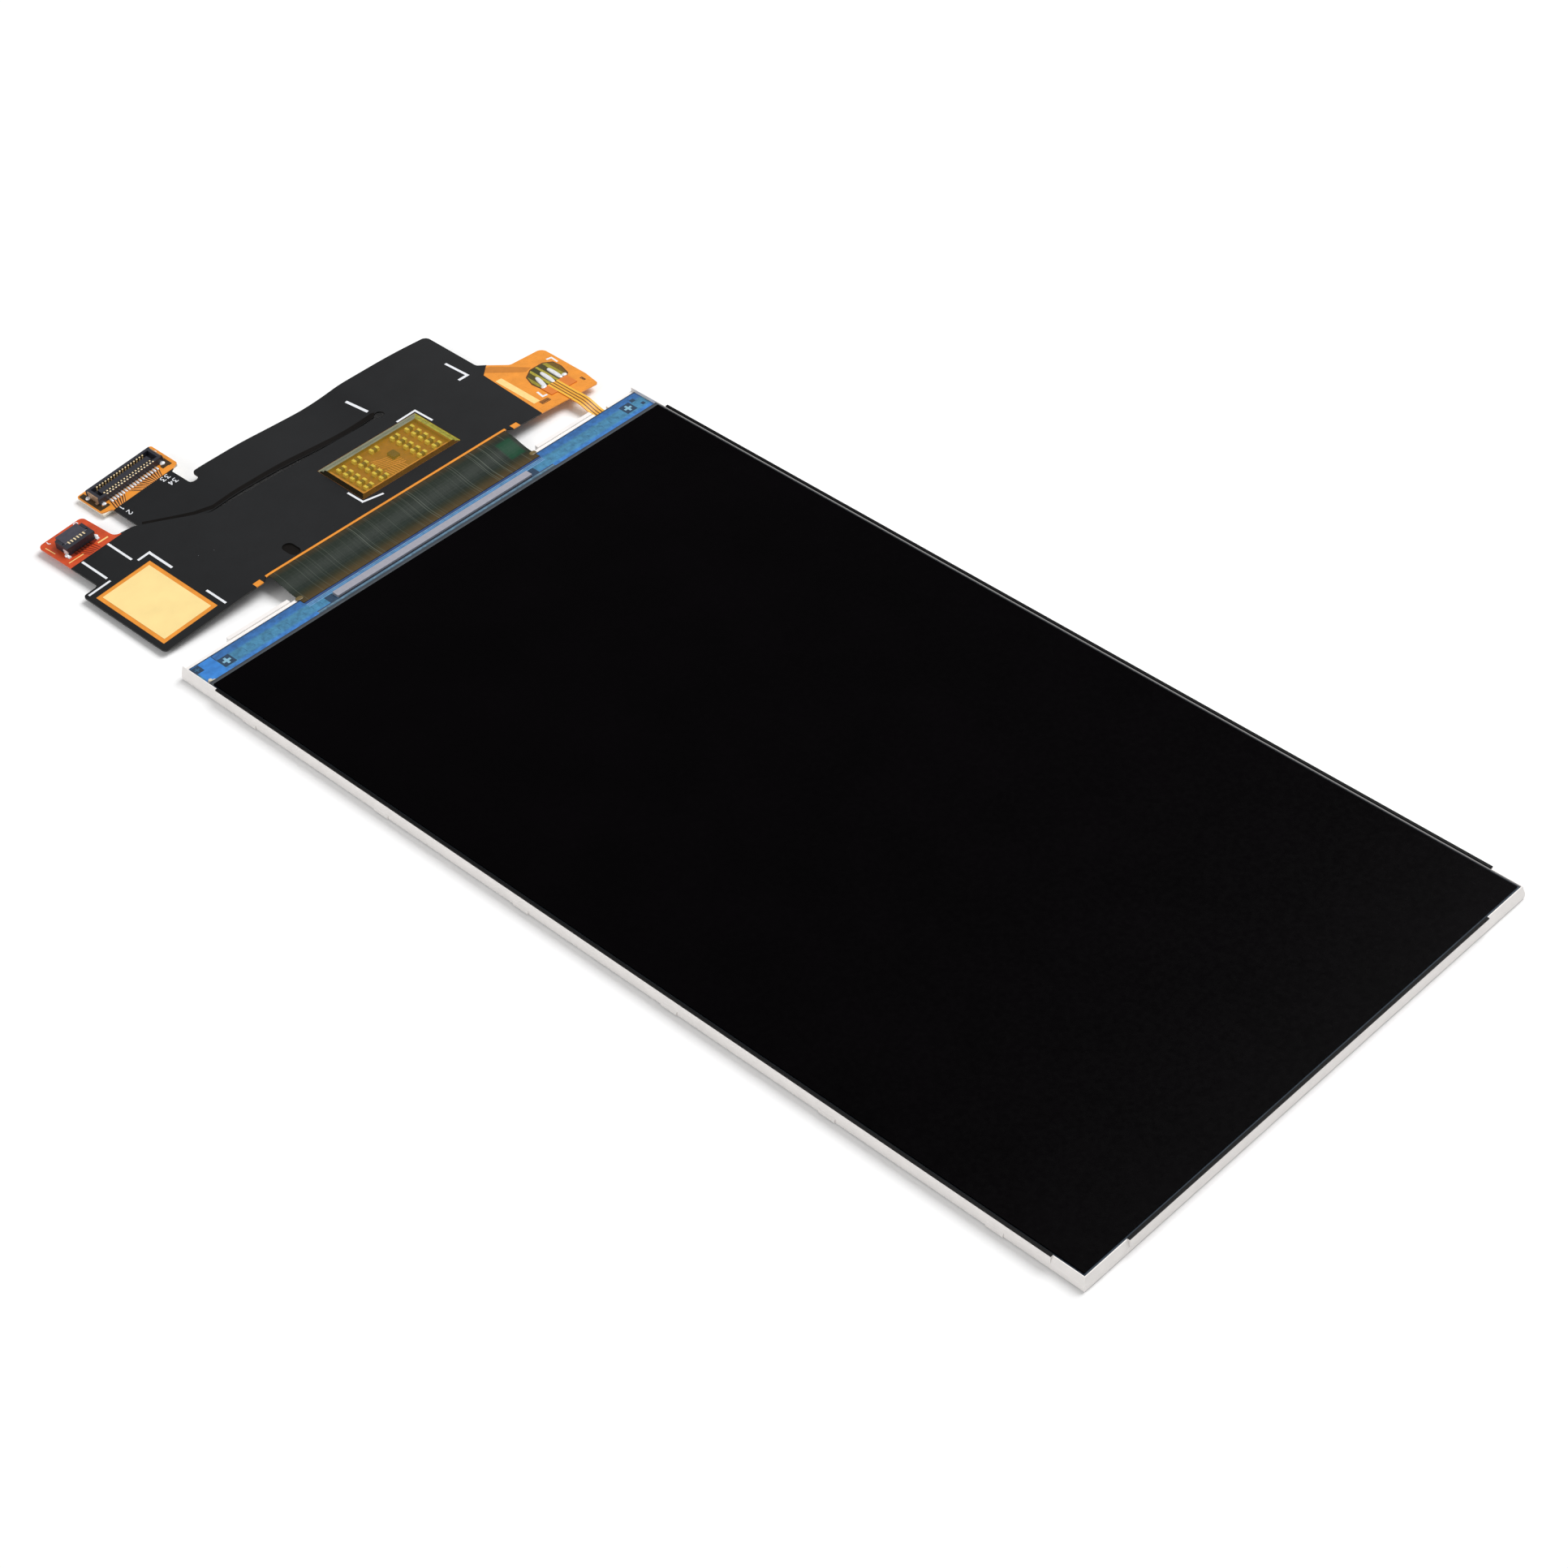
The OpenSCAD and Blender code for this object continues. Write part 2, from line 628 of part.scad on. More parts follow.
module liquid_crystal() {
    color("slategray") block([-glass_x + seal_w, glass_near + seal_w, ledge_z],
        [glass_x - seal_w, filter_end - seal_w, ledge_z + crystal_t]);
}

module filter_glass() {
    color("lightslategray") block([-glass_x, glass_near, filter_z], [glass_x, filter_end, front_pol_z]);
}

module front_polariser() {
    color("#08080a") block([-view_w / 2, -view_l / 2, front_pol_z], [view_w / 2, view_l / 2, face_z]);
}

module driver_chip() {
    color("silver") block([-chip_l / 2, filter_end + chip_gap, ledge_z],
        [chip_l / 2, filter_end + chip_gap + chip_w, ledge_z + chip_t]);
}

// Blue varnish over the ledge, open around the driver chip, the bonded stretch and the silver dot
module ledge_varnish() {
    clear = 0.05;
    color("#3f80c0") difference() {
        block([-glass_x, filter_end, ledge_z], [glass_x, array_end, ledge_z + varnish_t]);
        block([-chip_l / 2 - clear, filter_end + chip_gap - clear, 0],
            [chip_l / 2 + clear, filter_end + chip_gap + chip_w + clear, 3]);
        block([-bond_w / 2 - clear, bond_start - clear, 0], [bond_w / 2 + clear, array_end + 1, 3]);
        translate([-glass_x + 0.6, filter_end + 0.35, 0]) cylinder(r = 0.32, h = 3);
    }
}

// Conductive paste dot that earths the colour filter glass
module silver_dot() {
    color("linen") translate([-glass_x + 0.6, filter_end + 0.35, ledge_z])
        cylinder(r1 = 0.3, r2 = 0.2, h = 0.2);
}

module bond_film() {
    color("dimgray") block([-bond_w / 2, bond_start, ledge_z],
        [bond_w / 2, array_end, ledge_z + bond_film_t]);
}

// Single-layer stretch that leaves the ledge level, climbs in an S and butts against the base film
module bond_flex() {
    low = ledge_z + bond_film_t;
    high = sheet_z - base_t / 2 - bond_t / 2;
    n = 10;
    climb = [for (i = [0:n]) [array_end + 0.5 + (body_near - 0.6 - array_end - 0.5) * i / n,
                              low + (high - low) * (1 - cos(180 * i / n)) / 2]];
    under = concat([[bond_start, low]], climb, [[body_near, high]]);
    over = [for (i = [len(under) - 1:-1:0]) under[i] + [0, bond_t]];
    color("#4a4a2c") along_x(bond_w) polygon(concat(under, over));
}

// Polyimide base film with its copper, in one piece from the wings to both connector tabs
module flex_base() {
    color("darkorange") difference() {
        union() {
            on_sheet(body_profile, 0, base_t) body_outline();
            on_sheet(arm_profile, 0, base_t) arm_outline();
        }
        translate([0, 0, plan_low]) linear_extrude(plan_h) slot_outline();
    }
}

// Black cover film on top, which leaves the pad, the window and the tabs bare
module top_cover_film() {
    edge = 0.3;
    color("#1a1a1c") {
        on_sheet(body_profile, cover_t, cover_t) difference() {
            body_outline();
            slot_outline();
            pad_field(pad_border);
            window_field(0.05);
            translate([-bond_w / 2 - 0.3, body_near - 1]) square([bond_w + 0.6, 1 + edge]);
            tab_bare();
            key_bare();
            for (s = [-1, 1]) translate([s * (bond_w / 2 + 1.5) - 0.5, wing_near - 0.2]) square([1, 0.9]);
        }
        on_sheet(arm_profile, cover_t, cover_t) difference() {
            arm_outline();
            board_bare();
            arm_step();
        }
    }
}

// Black cover film underneath, open at the underside parts
module rear_cover_film() {
    color("#1a1a1c") {
        on_sheet(body_profile, -base_t, cover_t) difference() {
            body_outline();
            slot_outline();
            window_field(0.3);
            tab_bare();
            key_bare();
        }
        on_sheet(arm_profile, -base_t, cover_t) difference() {
            arm_outline();
            board_bare();
            arm_step();
        }
    }
}

module shielding_pad() {
    color("khaki") on_sheet(body_profile, cover_t, cover_t) pad_field(0);
}

// Bare gold strip along the inner edge of the right tab
module ground_strip() {
    color("khaki") on_sheet(body_profile, cover_t, cover_t)
        translate([cover_right + 0.4, wing_near + 1.9]) square([0.9, 6.2]);
}

// Solid under the amber tape: level on top, sloping down on all four sides
module tape_hill(lift) {
    h = cap_h + window_t;
    s = window_slope;
    translate([window_x, window_y, sheet_z + lift]) intersection() {
        along_x(window_w + 2)
            polygon([[-window_l / 2, 0], [window_l / 2, 0], [window_l / 2 - s, h], [s - window_l / 2, h]]);
        translate([0, window_l / 2 + 1, 0]) rotate([90, 0, 0]) linear_extrude(window_l + 2)
            polygon([[-window_w / 2, 0], [window_w / 2, 0], [window_w / 2 - s, h], [s - window_w / 2, h]]);
    }
}

// Amber tape laid over the capacitors like a tent
module window_tape() {
    color("goldenrod") difference() {
        tape_hill(0);
        tape_hill(-window_t);
    }
}

// Places its children at each capacitor: four columns of five, and one by itself
module cap_places() {
    translate([window_x, window_y + cap_row_y, sheet_z]) {
        for (x = cap_columns, row = [-2:2]) translate([x, row * cap_pitch, 0]) children();
        translate([-0.6, 2 * cap_pitch, 0]) children();
    }
}

// Ceramic chip capacitors with tinned ends that stand a little proud of the body
module chip_capacitors() {
    proud = 0.02;
    end_l = 0.25;
    color("peru") cap_places() {
        block([-cap_l / 2, -cap_w / 2 + proud, proud], [cap_l / 2, cap_w / 2 - proud, cap_h - proud]);
        for (x = [-cap_l / 2, cap_l / 2 - end_l])
            block([x, -cap_w / 2, 0], [x + end_l, cap_w / 2, cap_h]);
    }
}

// Small black chip between the two banks of capacitors
module filter_chip() {
    color("#2a2c26") translate([window_x + 0.3, window_y - 0.35, sheet_z]) block([-0.45, -0.55, 0],
        [0.45, 0.55, cap_h - 0.05]);
}

// Pale plate glued under the capacitors to keep that stretch of the circuit flat
module field_stiffener() {
    color("ivory") translate([window_x, window_y, sheet_z - base_t - field_stiff_t])
        block([-window_w / 2 - 0.2, -window_l / 2 - 0.2, 0],
            [window_w / 2 + 0.2, window_l / 2 + 0.2, field_stiff_t]);
}

// Tail of the diode strip: out of the bay, over the frame and onto the right tab, with a wide head
module backlight_tail() {
    low = led_flex_z;
    top = body_z(tail_x);
    n = 8;
    from = frame_end - 0.2;
    to = wing_near - 1;
    climb = [for (i = [0:n]) [from + (to - from) * i / n, low + (top - low) * (1 - cos(180 * i / n)) / 2]];
    under = concat([[led_bay_end - guide_fit, low]], climb, [[wing_near - 0.1, top]]);
    over = [for (i = [len(under) - 1:-1:0]) under[i] + [0, tail_t]];
    color("orange") {
        translate([tail_x, 0, 0]) along_x(tail_w) polygon(concat(under, over));
        on_sheet(body_profile, tail_t, tail_t) {
            translate([tail_x - tail_w / 2, wing_near - 0.3]) square([tail_w, tail_lap + 0.4]);
            translate([tail_x + 0.2 - head_w / 2, wing_near + tail_lap]) square([head_w, head_l]);
        }
    }
}

// Solder joints that start on the head's pads and run down onto the tab's pads
module tail_joints() {
    color("white") for (i = [-1:1])
        on_sheet(body_profile, joint_t, joint_t)
            translate([tail_x + 0.4 + i * joint_pitch - joint_w / 2, wing_near + tail_lap + head_l])
                square([joint_w, joint_l]);
}

module board_stiffener() {
    tab_left = -board_x - board_tab_w / 2;
    color("ivory") on_sheet(arm_profile, -base_t, board_stiff_t)
        translate([tab_left + 0.1, board_neck_far + 0.1]) square([board_tab_w - 0.2, board_tab_d - 0.2]);
}

// Length of the board connector's body
function board_l() = (board_contacts_n - 1) * board_pitch + 2 * board_end;

// Places its children at each contact of the board connector, the second row turned round
module board_places() {
    for (turn = [0, 180], i = [0:board_contacts_n - 1])
        rotate([0, 0, turn]) translate([(i - (board_contacts_n - 1) / 2) * board_pitch, 0, 0]) children();
}

// Receptacle body: outer walls, recess and island, with a chamber for each contact
module board_housing() {
    l = board_l();
    recess_l = l - 0.9;
    wall_y = board_d / 2 - board_wall;
    isle_y = board_island / 2;
    color("#26262a") on_arm(-board_x, board_y) difference() {
        block([-l / 2, -board_d / 2, 0], [l / 2, board_d / 2, board_h]);
        difference() {
            block([-recess_l / 2, -wall_y, 0.22], [recess_l / 2, wall_y, board_h + 1]);
            block([-recess_l / 2 + 0.55, -isle_y, 0], [recess_l / 2 - 0.55, isle_y, board_h - 0.18]);
        }
        board_places() {
            block([-contact_w / 2 - 0.03, -board_d / 2 - 1, -eps],
                [contact_w / 2 + 0.03, -isle_y + 0.06, contact_t + 0.04]);
            block([-contact_w / 2 - 0.03, -wall_y - 0.1, -eps],
                [contact_w / 2 + 0.03, -isle_y + 0.06, board_h - 0.12]);
        }
        for (s = [-1, 1]) block([s * l / 2 - 0.12, -0.95, -eps], [s * l / 2 + 0.12, 0.95, board_h + 1]);
    }
}

// Contacts bent from strip: a solder tail, a limb in the wall and a limb against the island
module board_contacts() {
    wall_y = board_d / 2 - board_wall;
    isle_y = board_island / 2;
    t = contact_t;
    color("gold") on_arm(-board_x, board_y) board_places() along_x(contact_w)
        polygon([[-board_d / 2 - tail_l, 0], [-isle_y + 0.03, 0], [-isle_y + 0.03, board_h - 0.3],
                 [-isle_y + 0.03 - t, board_h - 0.3], [-isle_y + 0.03 - t, t], [-wall_y, t],
                 [-wall_y, board_h - 0.32], [-wall_y + 0.07, board_h - 0.24], [-wall_y, board_h - 0.16],
                 [-wall_y - 0.07, board_h - 0.16], [-wall_y - 0.07, t], [-board_d / 2 - tail_l, t]]);
}

// Hold-down plates folded over both ends of the receptacle, with feet soldered to the tab
module board_clips() {
    x = board_l() / 2;
    color("silver") on_arm(-board_x, board_y) for (s = [0, 1]) mirror([s, 0, 0]) {
        block([x - 0.1, -0.9, 0], [x, 0.9, board_h]);
        block([x - 0.1, -0.9, 0], [x + 0.25, -0.5, 0.1]);
        block([x - 0.1, 0.5, 0], [x + 0.25, 0.9, 0.1]);
    }
}

module key_stiffener() {
    color("firebrick") on_sheet(body_profile, -base_t, key_stiff_t)
        translate([-key_x - key_tab_w / 2 + 0.2, key_neck_far + 0.2])
            square([key_tab_w - 0.4, key_tab_l - 0.4]);
}

// Half width of the key connector and the height and depth of the flip lock's pivot
key_half = (key_contacts_n - 1) * key_pitch / 2 + key_end;
lock_half = key_half - 0.4;
pivot_y = -0.3;
pivot_z = key_h - lock_t / 2;
lock_r = lock_t / 2;
slot_half = 0.12;

// Socket body for a short flat cable, open at the far side, with end posts for the pivot pins
module key_housing() {
    roof_y = pivot_y - lock_r - lock_gap;
    cable_z = 0.28;
    cable_h = 0.3;
    color("#28282c") on_left_wing(-key_x, key_y) difference() {
        block([-key_half, -key_d / 2, 0], [key_half, key_d / 2 - lock_over, key_h]);
        block([-lock_half - lock_gap, roof_y, cable_z], [lock_half + lock_gap, key_d / 2 + 1, key_h + 1]);
        block([-lock_half, -0.65, cable_z], [lock_half, key_d / 2 + 1, cable_z + cable_h]);
        translate([0, pivot_y, pivot_z]) {
            rotate([0, 90, 0])
                cylinder(r = pivot_r + lock_gap, h = 2 * (lock_half + lock_gap + pivot_l), center = true);
            block([-lock_half - lock_gap - pivot_l, -pivot_r, 0],
                [lock_half + lock_gap + pivot_l, pivot_r, 1]);
        }
        key_places() {
            block([-slot_half, -key_d / 2 - 1, -eps], [slot_half, -0.7, 0.16]);
            block([-slot_half, -1.04, -eps], [slot_half, 0.76, cable_z + cable_h]);
            block([-slot_half, -1.04, 0], [slot_half, -0.5, 0.86]);
            block([-slot_half, -0.78, 0], [slot_half, roof_y + 1, key_h + 1]);
        }
        for (s = [-1, 1]) block([s * key_half - 0.12, -key_d / 2 - 1, -eps],
            [s * key_half + 0.12, -0.45, 0.66]);
    }
}

// Places its children at each contact of the key connector
module key_places() {
    for (i = [0:key_contacts_n - 1]) translate([(i - (key_contacts_n - 1) / 2) * key_pitch, 0, 0]) children();
}

// Fork-shaped contacts: solder tail, rear post, lower beam under the cable and upper beam over it
module key_contacts() {
    tip = pivot_y - 0.04;
    color("gold") on_left_wing(-key_x, key_y) key_places() along_x(2 * slot_half - 0.06)
        polygon([[-key_d / 2 - 0.35, 0], [0.7, 0], [0.7, 0.2], [0.6, 0.24], [-0.8, 0.16], [-0.8, 0.68],
                 [tip, 0.64], [tip, 0.76], [tip - 0.12, 0.84], [-0.9, 0.84], [-1, 0.76], [-1, 0.1],
                 [-key_d / 2 - 0.35, 0.1]]);
}

// Hold-down plates at both ends of the key connector
module key_clips() {
    color("silver") on_left_wing(-key_x, key_y) for (s = [0, 1]) mirror([s, 0, 0]) {
        block([key_half - 0.12, -key_d / 2 + 0.1, 0], [key_half, -0.45, 0.66]);
        block([key_half - 0.12, -key_d / 2 - 0.35, 0], [key_half + 0.25, -key_d / 2 + 0.1, 0.1]);
    }
}

// Flip lock: a plate with a round root that turns on two pins, notched over each contact
module flip_lock() {
    color("#2c2c30") on_left_wing(-key_x, key_y) translate([0, pivot_y, pivot_z]) {
        difference() {
            union() {
                rotate([0, 90, 0]) cylinder(r = lock_r, h = 2 * lock_half, center = true);
                block([-lock_half, 0, -lock_r], [lock_half, key_d / 2 - pivot_y, lock_r]);
            }
            key_places() block([-slot_half, -lock_r - eps, -lock_r - eps], [slot_half, 0.05, lock_r + eps]);
        }
        for (s = [0, 1]) mirror([s, 0, 0]) translate([lock_half - eps, 0, 0]) rotate([0, 90, 0])
            cylinder(r = pivot_r, h = pivot_l - lock_gap + eps);
    }
}

rear_reflector();
light_guide();
diffuser_film();
lower_prism_film();
upper_prism_film();
led_strip_flex();
led_packages();
mould_frame();
rim_tape();
edge_tapes();
rear_polariser();
array_glass();
cell_seal();
liquid_crystal();
filter_glass();
front_polariser();
driver_chip();
ledge_varnish();
silver_dot();
bond_film();
bond_flex();
flex_base();
top_cover_film();
rear_cover_film();
shielding_pad();
ground_strip();
chip_capacitors();
filter_chip();
window_tape();
field_stiffener();
backlight_tail();
tail_joints();
board_stiffener();
board_housing();
board_contacts();
board_clips();
key_stiffener();
key_housing();
key_contacts();
key_clips();
flip_lock();
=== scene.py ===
"""Looks of a phone display module, lying face up with its flexible circuit folded out behind it.

Sizes are in millimetres in the classes and turned into metres where a mesh is made. +X runs
across the width, +Y along the length towards the flexible circuit, +Z out of the screen.
"""

import logging
import math
from dataclasses import dataclass, field
from enum import Enum
from typing import Callable, Iterable, Sequence

import bmesh
import bpy
import numpy as np
from mathutils import Matrix, Vector
from mathutils.geometry import delaunay_2d_cdt

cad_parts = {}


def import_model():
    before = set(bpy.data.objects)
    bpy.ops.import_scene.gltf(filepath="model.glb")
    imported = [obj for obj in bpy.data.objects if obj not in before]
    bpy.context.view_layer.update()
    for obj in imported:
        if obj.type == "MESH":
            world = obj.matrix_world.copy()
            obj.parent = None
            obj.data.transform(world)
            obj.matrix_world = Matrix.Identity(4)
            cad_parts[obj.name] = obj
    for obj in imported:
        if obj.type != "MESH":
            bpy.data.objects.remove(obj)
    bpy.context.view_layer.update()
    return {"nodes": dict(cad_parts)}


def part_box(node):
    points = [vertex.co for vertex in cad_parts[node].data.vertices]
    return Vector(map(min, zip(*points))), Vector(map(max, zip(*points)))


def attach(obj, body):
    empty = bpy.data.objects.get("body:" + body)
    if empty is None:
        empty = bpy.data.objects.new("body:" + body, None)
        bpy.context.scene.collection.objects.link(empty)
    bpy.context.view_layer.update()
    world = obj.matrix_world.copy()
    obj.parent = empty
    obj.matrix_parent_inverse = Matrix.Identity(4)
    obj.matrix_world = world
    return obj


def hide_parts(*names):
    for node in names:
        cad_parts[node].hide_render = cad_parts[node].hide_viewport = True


LOG = logging.getLogger("display_module")
MM = 0.001
Point = tuple[float, float]
Corner = tuple[float, float, float]


class Body(Enum):
    """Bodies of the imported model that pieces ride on."""

    MODULE = "module"
    LOCK = "lock"


class Shape(Enum):
    """Small shapes that a repeater can put on its places."""

    BOX = "box"
    DOME = "dome"


# Node helpers


def linear(code: str) -> tuple[float, float, float, float]:
    """Turns an sRGB hex colour into linear RGBA.

    Args:
        code: Six hex digits, with or without a leading hash.

    Returns:
        Red, green, blue and an alpha of 1.
    """
    digits = code.lstrip("#")
    parts = [int(digits[i : i + 2], 16) / 255 for i in (0, 2, 4)]
    values = [c / 12.92 if c <= 0.04045 else ((c + 0.055) / 1.055) ** 2.4 for c in parts]
    return values[0], values[1], values[2], 1.0


def add(tree: bpy.types.NodeTree, kind: str, sockets: dict | None = None, **settings: object) -> bpy.types.Node:
    """Adds one node with its settings, values and links.

    Args:
        tree: Node tree that gets the node.
        kind: The node's type name.
        sockets: Input name or number, with a value or the socket that feeds it.
        **settings: Properties of the node itself.

    Returns:
        The new node.
    """
    node = tree.nodes.new(kind)
    for key, value in settings.items():
        setattr(node, key, value)
    for key, value in (sockets or {}).items():
        if isinstance(value, bpy.types.NodeSocket):
            tree.links.new(value, node.inputs[key])
        else:
            node.inputs[key].default_value = value
    return node


def per_mm(size: float) -> float:
    """Texture scale in Object coordinates for a pattern whose cell is size millimetres."""
    return 1.0 / (size * MM)


# Finishes


@dataclass(frozen=True)
class Finish:
    """A solid material with fine mottling, uneven gloss and a fine surface relief."""

    name: str
    colour: str
    roughness: float = 0.4
    metallic: float = 0.0
    ior: float = 1.5
    specular: float = 0.5
    coat: float = 0.0
    alpha: float = 1.0
    transmission: float = 0.0
    grain: float = 0.4
    tone: float = 0.08
    relief: float = 0.004
    relief_grain: float = 0.12
    uneven: float = 0.06

    def colour_source(self, tree: bpy.types.NodeTree, place: bpy.types.NodeSocket) -> bpy.types.NodeSocket:
        """Builds the colour pattern and returns the socket that carries it."""
        noise = add(tree, "ShaderNodeTexNoise", {"Vector": place, "Scale": per_mm(self.grain), "Detail": 4.0})
        ramp = add(tree, "ShaderNodeMapRange", {"Value": noise.outputs["Fac"], "From Min": 0.3, "From Max": 0.7,
                                                "To Min": 1 - self.tone, "To Max": 1 + self.tone})
        shade = add(tree, "ShaderNodeHueSaturation", {"Color": linear(self.colour),
                                                      "Value": ramp.outputs["Result"]})
        return shade.outputs["Color"]

    def material(self) -> bpy.types.Material:
        """Builds the material, or returns the one already built under this name."""
        known = bpy.data.materials.get(self.name)
        if known is not None:
            return known
        made = bpy.data.materials.new(self.name)
        made.use_nodes = True
        tree = made.node_tree
        tree.nodes.clear()
        place = add(tree, "ShaderNodeTexCoord").outputs["Object"]
        fine = add(tree, "ShaderNodeTexNoise", {"Vector": place, "Scale": per_mm(self.relief_grain),
                                                "Detail": 3.0})
        gloss = add(tree, "ShaderNodeMapRange", {"Value": fine.outputs["Fac"], "From Min": 0.3, "From Max": 0.7,
                                                 "To Min": max(0.02, self.roughness - self.uneven),
                                                 "To Max": min(1.0, self.roughness + self.uneven)})
        relief = add(tree, "ShaderNodeBump", {"Height": fine.outputs["Fac"], "Strength": 0.5,
                                              "Distance": self.relief * MM})
        shader = add(tree, "ShaderNodeBsdfPrincipled", {
            "Base Color": self.colour_source(tree, place), "Roughness": gloss.outputs["Result"],
            "Normal": relief.outputs["Normal"], "Metallic": self.metallic,
            "Specular IOR Level": self.specular, "Coat Weight": self.coat,
            "Coat Roughness": 0.06, "Alpha": self.alpha, "Transmission Weight": self.transmission})
        if self.metallic < 0.5:
            shader.inputs["IOR"].default_value = self.ior
        add(tree, "ShaderNodeOutputMaterial", {"Surface": shader.outputs["BSDF"]})
        return made


@dataclass(frozen=True)
class BandedFinish(Finish):
    """Colour that changes in bands along one axis, as a printed or coated edge does."""

    axis: int = 1
    low: float = 0.0
    high: float = 1.0
    bands: tuple[tuple[float, str], ...] = ()
    soft: bool = True
    streak: float = 0.05

    def colour_source(self, tree: bpy.types.NodeTree, place: bpy.types.NodeSocket) -> bpy.types.NodeSocket:
        """Builds the bands and their slight mottling."""
        split = add(tree, "ShaderNodeSeparateXYZ", {"Vector": place})
        noise = add(tree, "ShaderNodeTexNoise", {"Vector": place, "Scale": per_mm(self.grain), "Detail": 5.0})
        wander = add(tree, "ShaderNodeMapRange", {"Value": noise.outputs["Fac"],
                                                  "To Min": -self.streak * MM, "To Max": self.streak * MM})
        shifted = add(tree, "ShaderNodeMath", {0: split.outputs[self.axis], 1: wander.outputs["Result"]},
                      operation="ADD")
        along = add(tree, "ShaderNodeMapRange", {"Value": shifted.outputs[0], "From Min": self.low * MM,
                                                 "From Max": self.high * MM})
        ramp = add(tree, "ShaderNodeValToRGB", {"Fac": along.outputs["Result"]})
        ramp.color_ramp.interpolation = "LINEAR" if self.soft else "CONSTANT"
        stops = ramp.color_ramp.elements
        while len(stops) < len(self.bands):
            stops.new(0.5)
        for stop, (at, code) in zip(stops, self.bands):
            stop.position = (at - self.low) / (self.high - self.low)
            stop.color = linear(code)
        tone = add(tree, "ShaderNodeMapRange", {"Value": noise.outputs["Fac"], "From Min": 0.3, "From Max": 0.7,
                                                "To Min": 1 - self.tone, "To Max": 1 + self.tone})
        shade = add(tree, "ShaderNodeHueSaturation", {"Color": ramp.outputs["Color"],
                                                      "Value": tone.outputs["Result"]})
        return shade.outputs["Color"]


@dataclass(frozen=True)
class SpeckledFinish(Finish):
    """A dark film with a few fine dust specks that have settled on it."""

    speck: str = "#8C9094"
    speck_pitch: float = 1.6
    speck_size: float = 0.035

    def colour_source(self, tree: bpy.types.NodeTree, place: bpy.types.NodeSocket) -> bpy.types.NodeSocket:
        """Builds the mottled colour and lays sparse specks over it."""
        base = super().colour_source(tree, place)
        cells = add(tree, "ShaderNodeTexVoronoi", {"Vector": place, "Scale": per_mm(self.speck_pitch)})
        near = add(tree, "ShaderNodeMath", {0: cells.outputs["Distance"], 1: self.speck_size / self.speck_pitch},
                   operation="LESS_THAN")
        split = add(tree, "ShaderNodeSeparateColor", {"Color": cells.outputs["Color"]})
        some = add(tree, "ShaderNodeMath", {0: split.outputs[0], 1: 0.72}, operation="GREATER_THAN")
        mask = add(tree, "ShaderNodeMath", {0: near.outputs[0], 1: some.outputs[0]}, operation="MULTIPLY")
        mix = add(tree, "ShaderNodeMix", {"Factor": mask.outputs[0], 6: base, 7: linear(self.speck)},
                  data_type="RGBA")
        return mix.outputs[2]


@dataclass(frozen=True)
class TracedFinish(BandedFinish):
    """A translucent film over a bundle of fine copper traces that run along Y."""

    patch: tuple[float, float, float, float] = (14.2, 61.5, 16.6, 64.5)
    patch_colour: str = "#12402A"
    patch_ease: float = 0.35
    trace: str = "#757C70"
    trace_pitch: float = 0.16
    strength: float = 0.35

    def colour_source(self, tree: bpy.types.NodeTree, place: bpy.types.NodeSocket) -> bpy.types.NodeSocket:
        """Builds the banded colour, then fine lines of uneven brightness across it."""
        base = super().colour_source(tree, place)
        split = add(tree, "ShaderNodeSeparateXYZ", {"Vector": place})
        across = add(tree, "ShaderNodeMath", {0: split.outputs[0], 1: per_mm(self.trace_pitch)},
                     operation="MULTIPLY")
        lines = add(tree, "ShaderNodeTexNoise", {"W": across.outputs[0], "Scale": 1.0, "Detail": 1.0},
                    noise_dimensions="1D")
        groups = add(tree, "ShaderNodeTexNoise", {"W": across.outputs[0], "Scale": 0.09, "Detail": 0.0},
                     noise_dimensions="1D")
        thin = add(tree, "ShaderNodeMapRange", {"Value": lines.outputs["Fac"], "From Min": 0.56,
                                                "From Max": 0.72})
        bundle = add(tree, "ShaderNodeMapRange", {"Value": groups.outputs["Fac"], "From Min": 0.45,
                                                  "From Max": 0.6, "To Min": 0.15})
        both = add(tree, "ShaderNodeMath", {0: thin.outputs["Result"], 1: bundle.outputs["Result"]},
                   operation="MULTIPLY")
        amount = add(tree, "ShaderNodeMath", {0: both.outputs[0], 1: self.strength}, operation="MULTIPLY")
        mix = add(tree, "ShaderNodeMix", {"Factor": amount.outputs[0], 6: base, 7: linear(self.trace)},
                  data_type="RGBA")
        x0, y0, x1, y1 = self.patch
        share: bpy.types.NodeSocket | float = 1.0
        for axis, start, end in ((0, x0, x0 + self.patch_ease), (0, x1, x1 - self.patch_ease),
                                 (1, y0, y0 + self.patch_ease), (1, y1, y1 - self.patch_ease)):
            fade = add(tree, "ShaderNodeMapRange", {"Value": split.outputs[axis], "From Min": start * MM,
                                                    "From Max": end * MM})
            share = add(tree, "ShaderNodeMath", {0: share, 1: fade.outputs["Result"]},
                        operation="MULTIPLY").outputs[0]
        green = add(tree, "ShaderNodeMix", {"Factor": share, 6: mix.outputs[2], 7: linear(self.patch_colour)},
                    data_type="RGBA")
        return green.outputs[2]


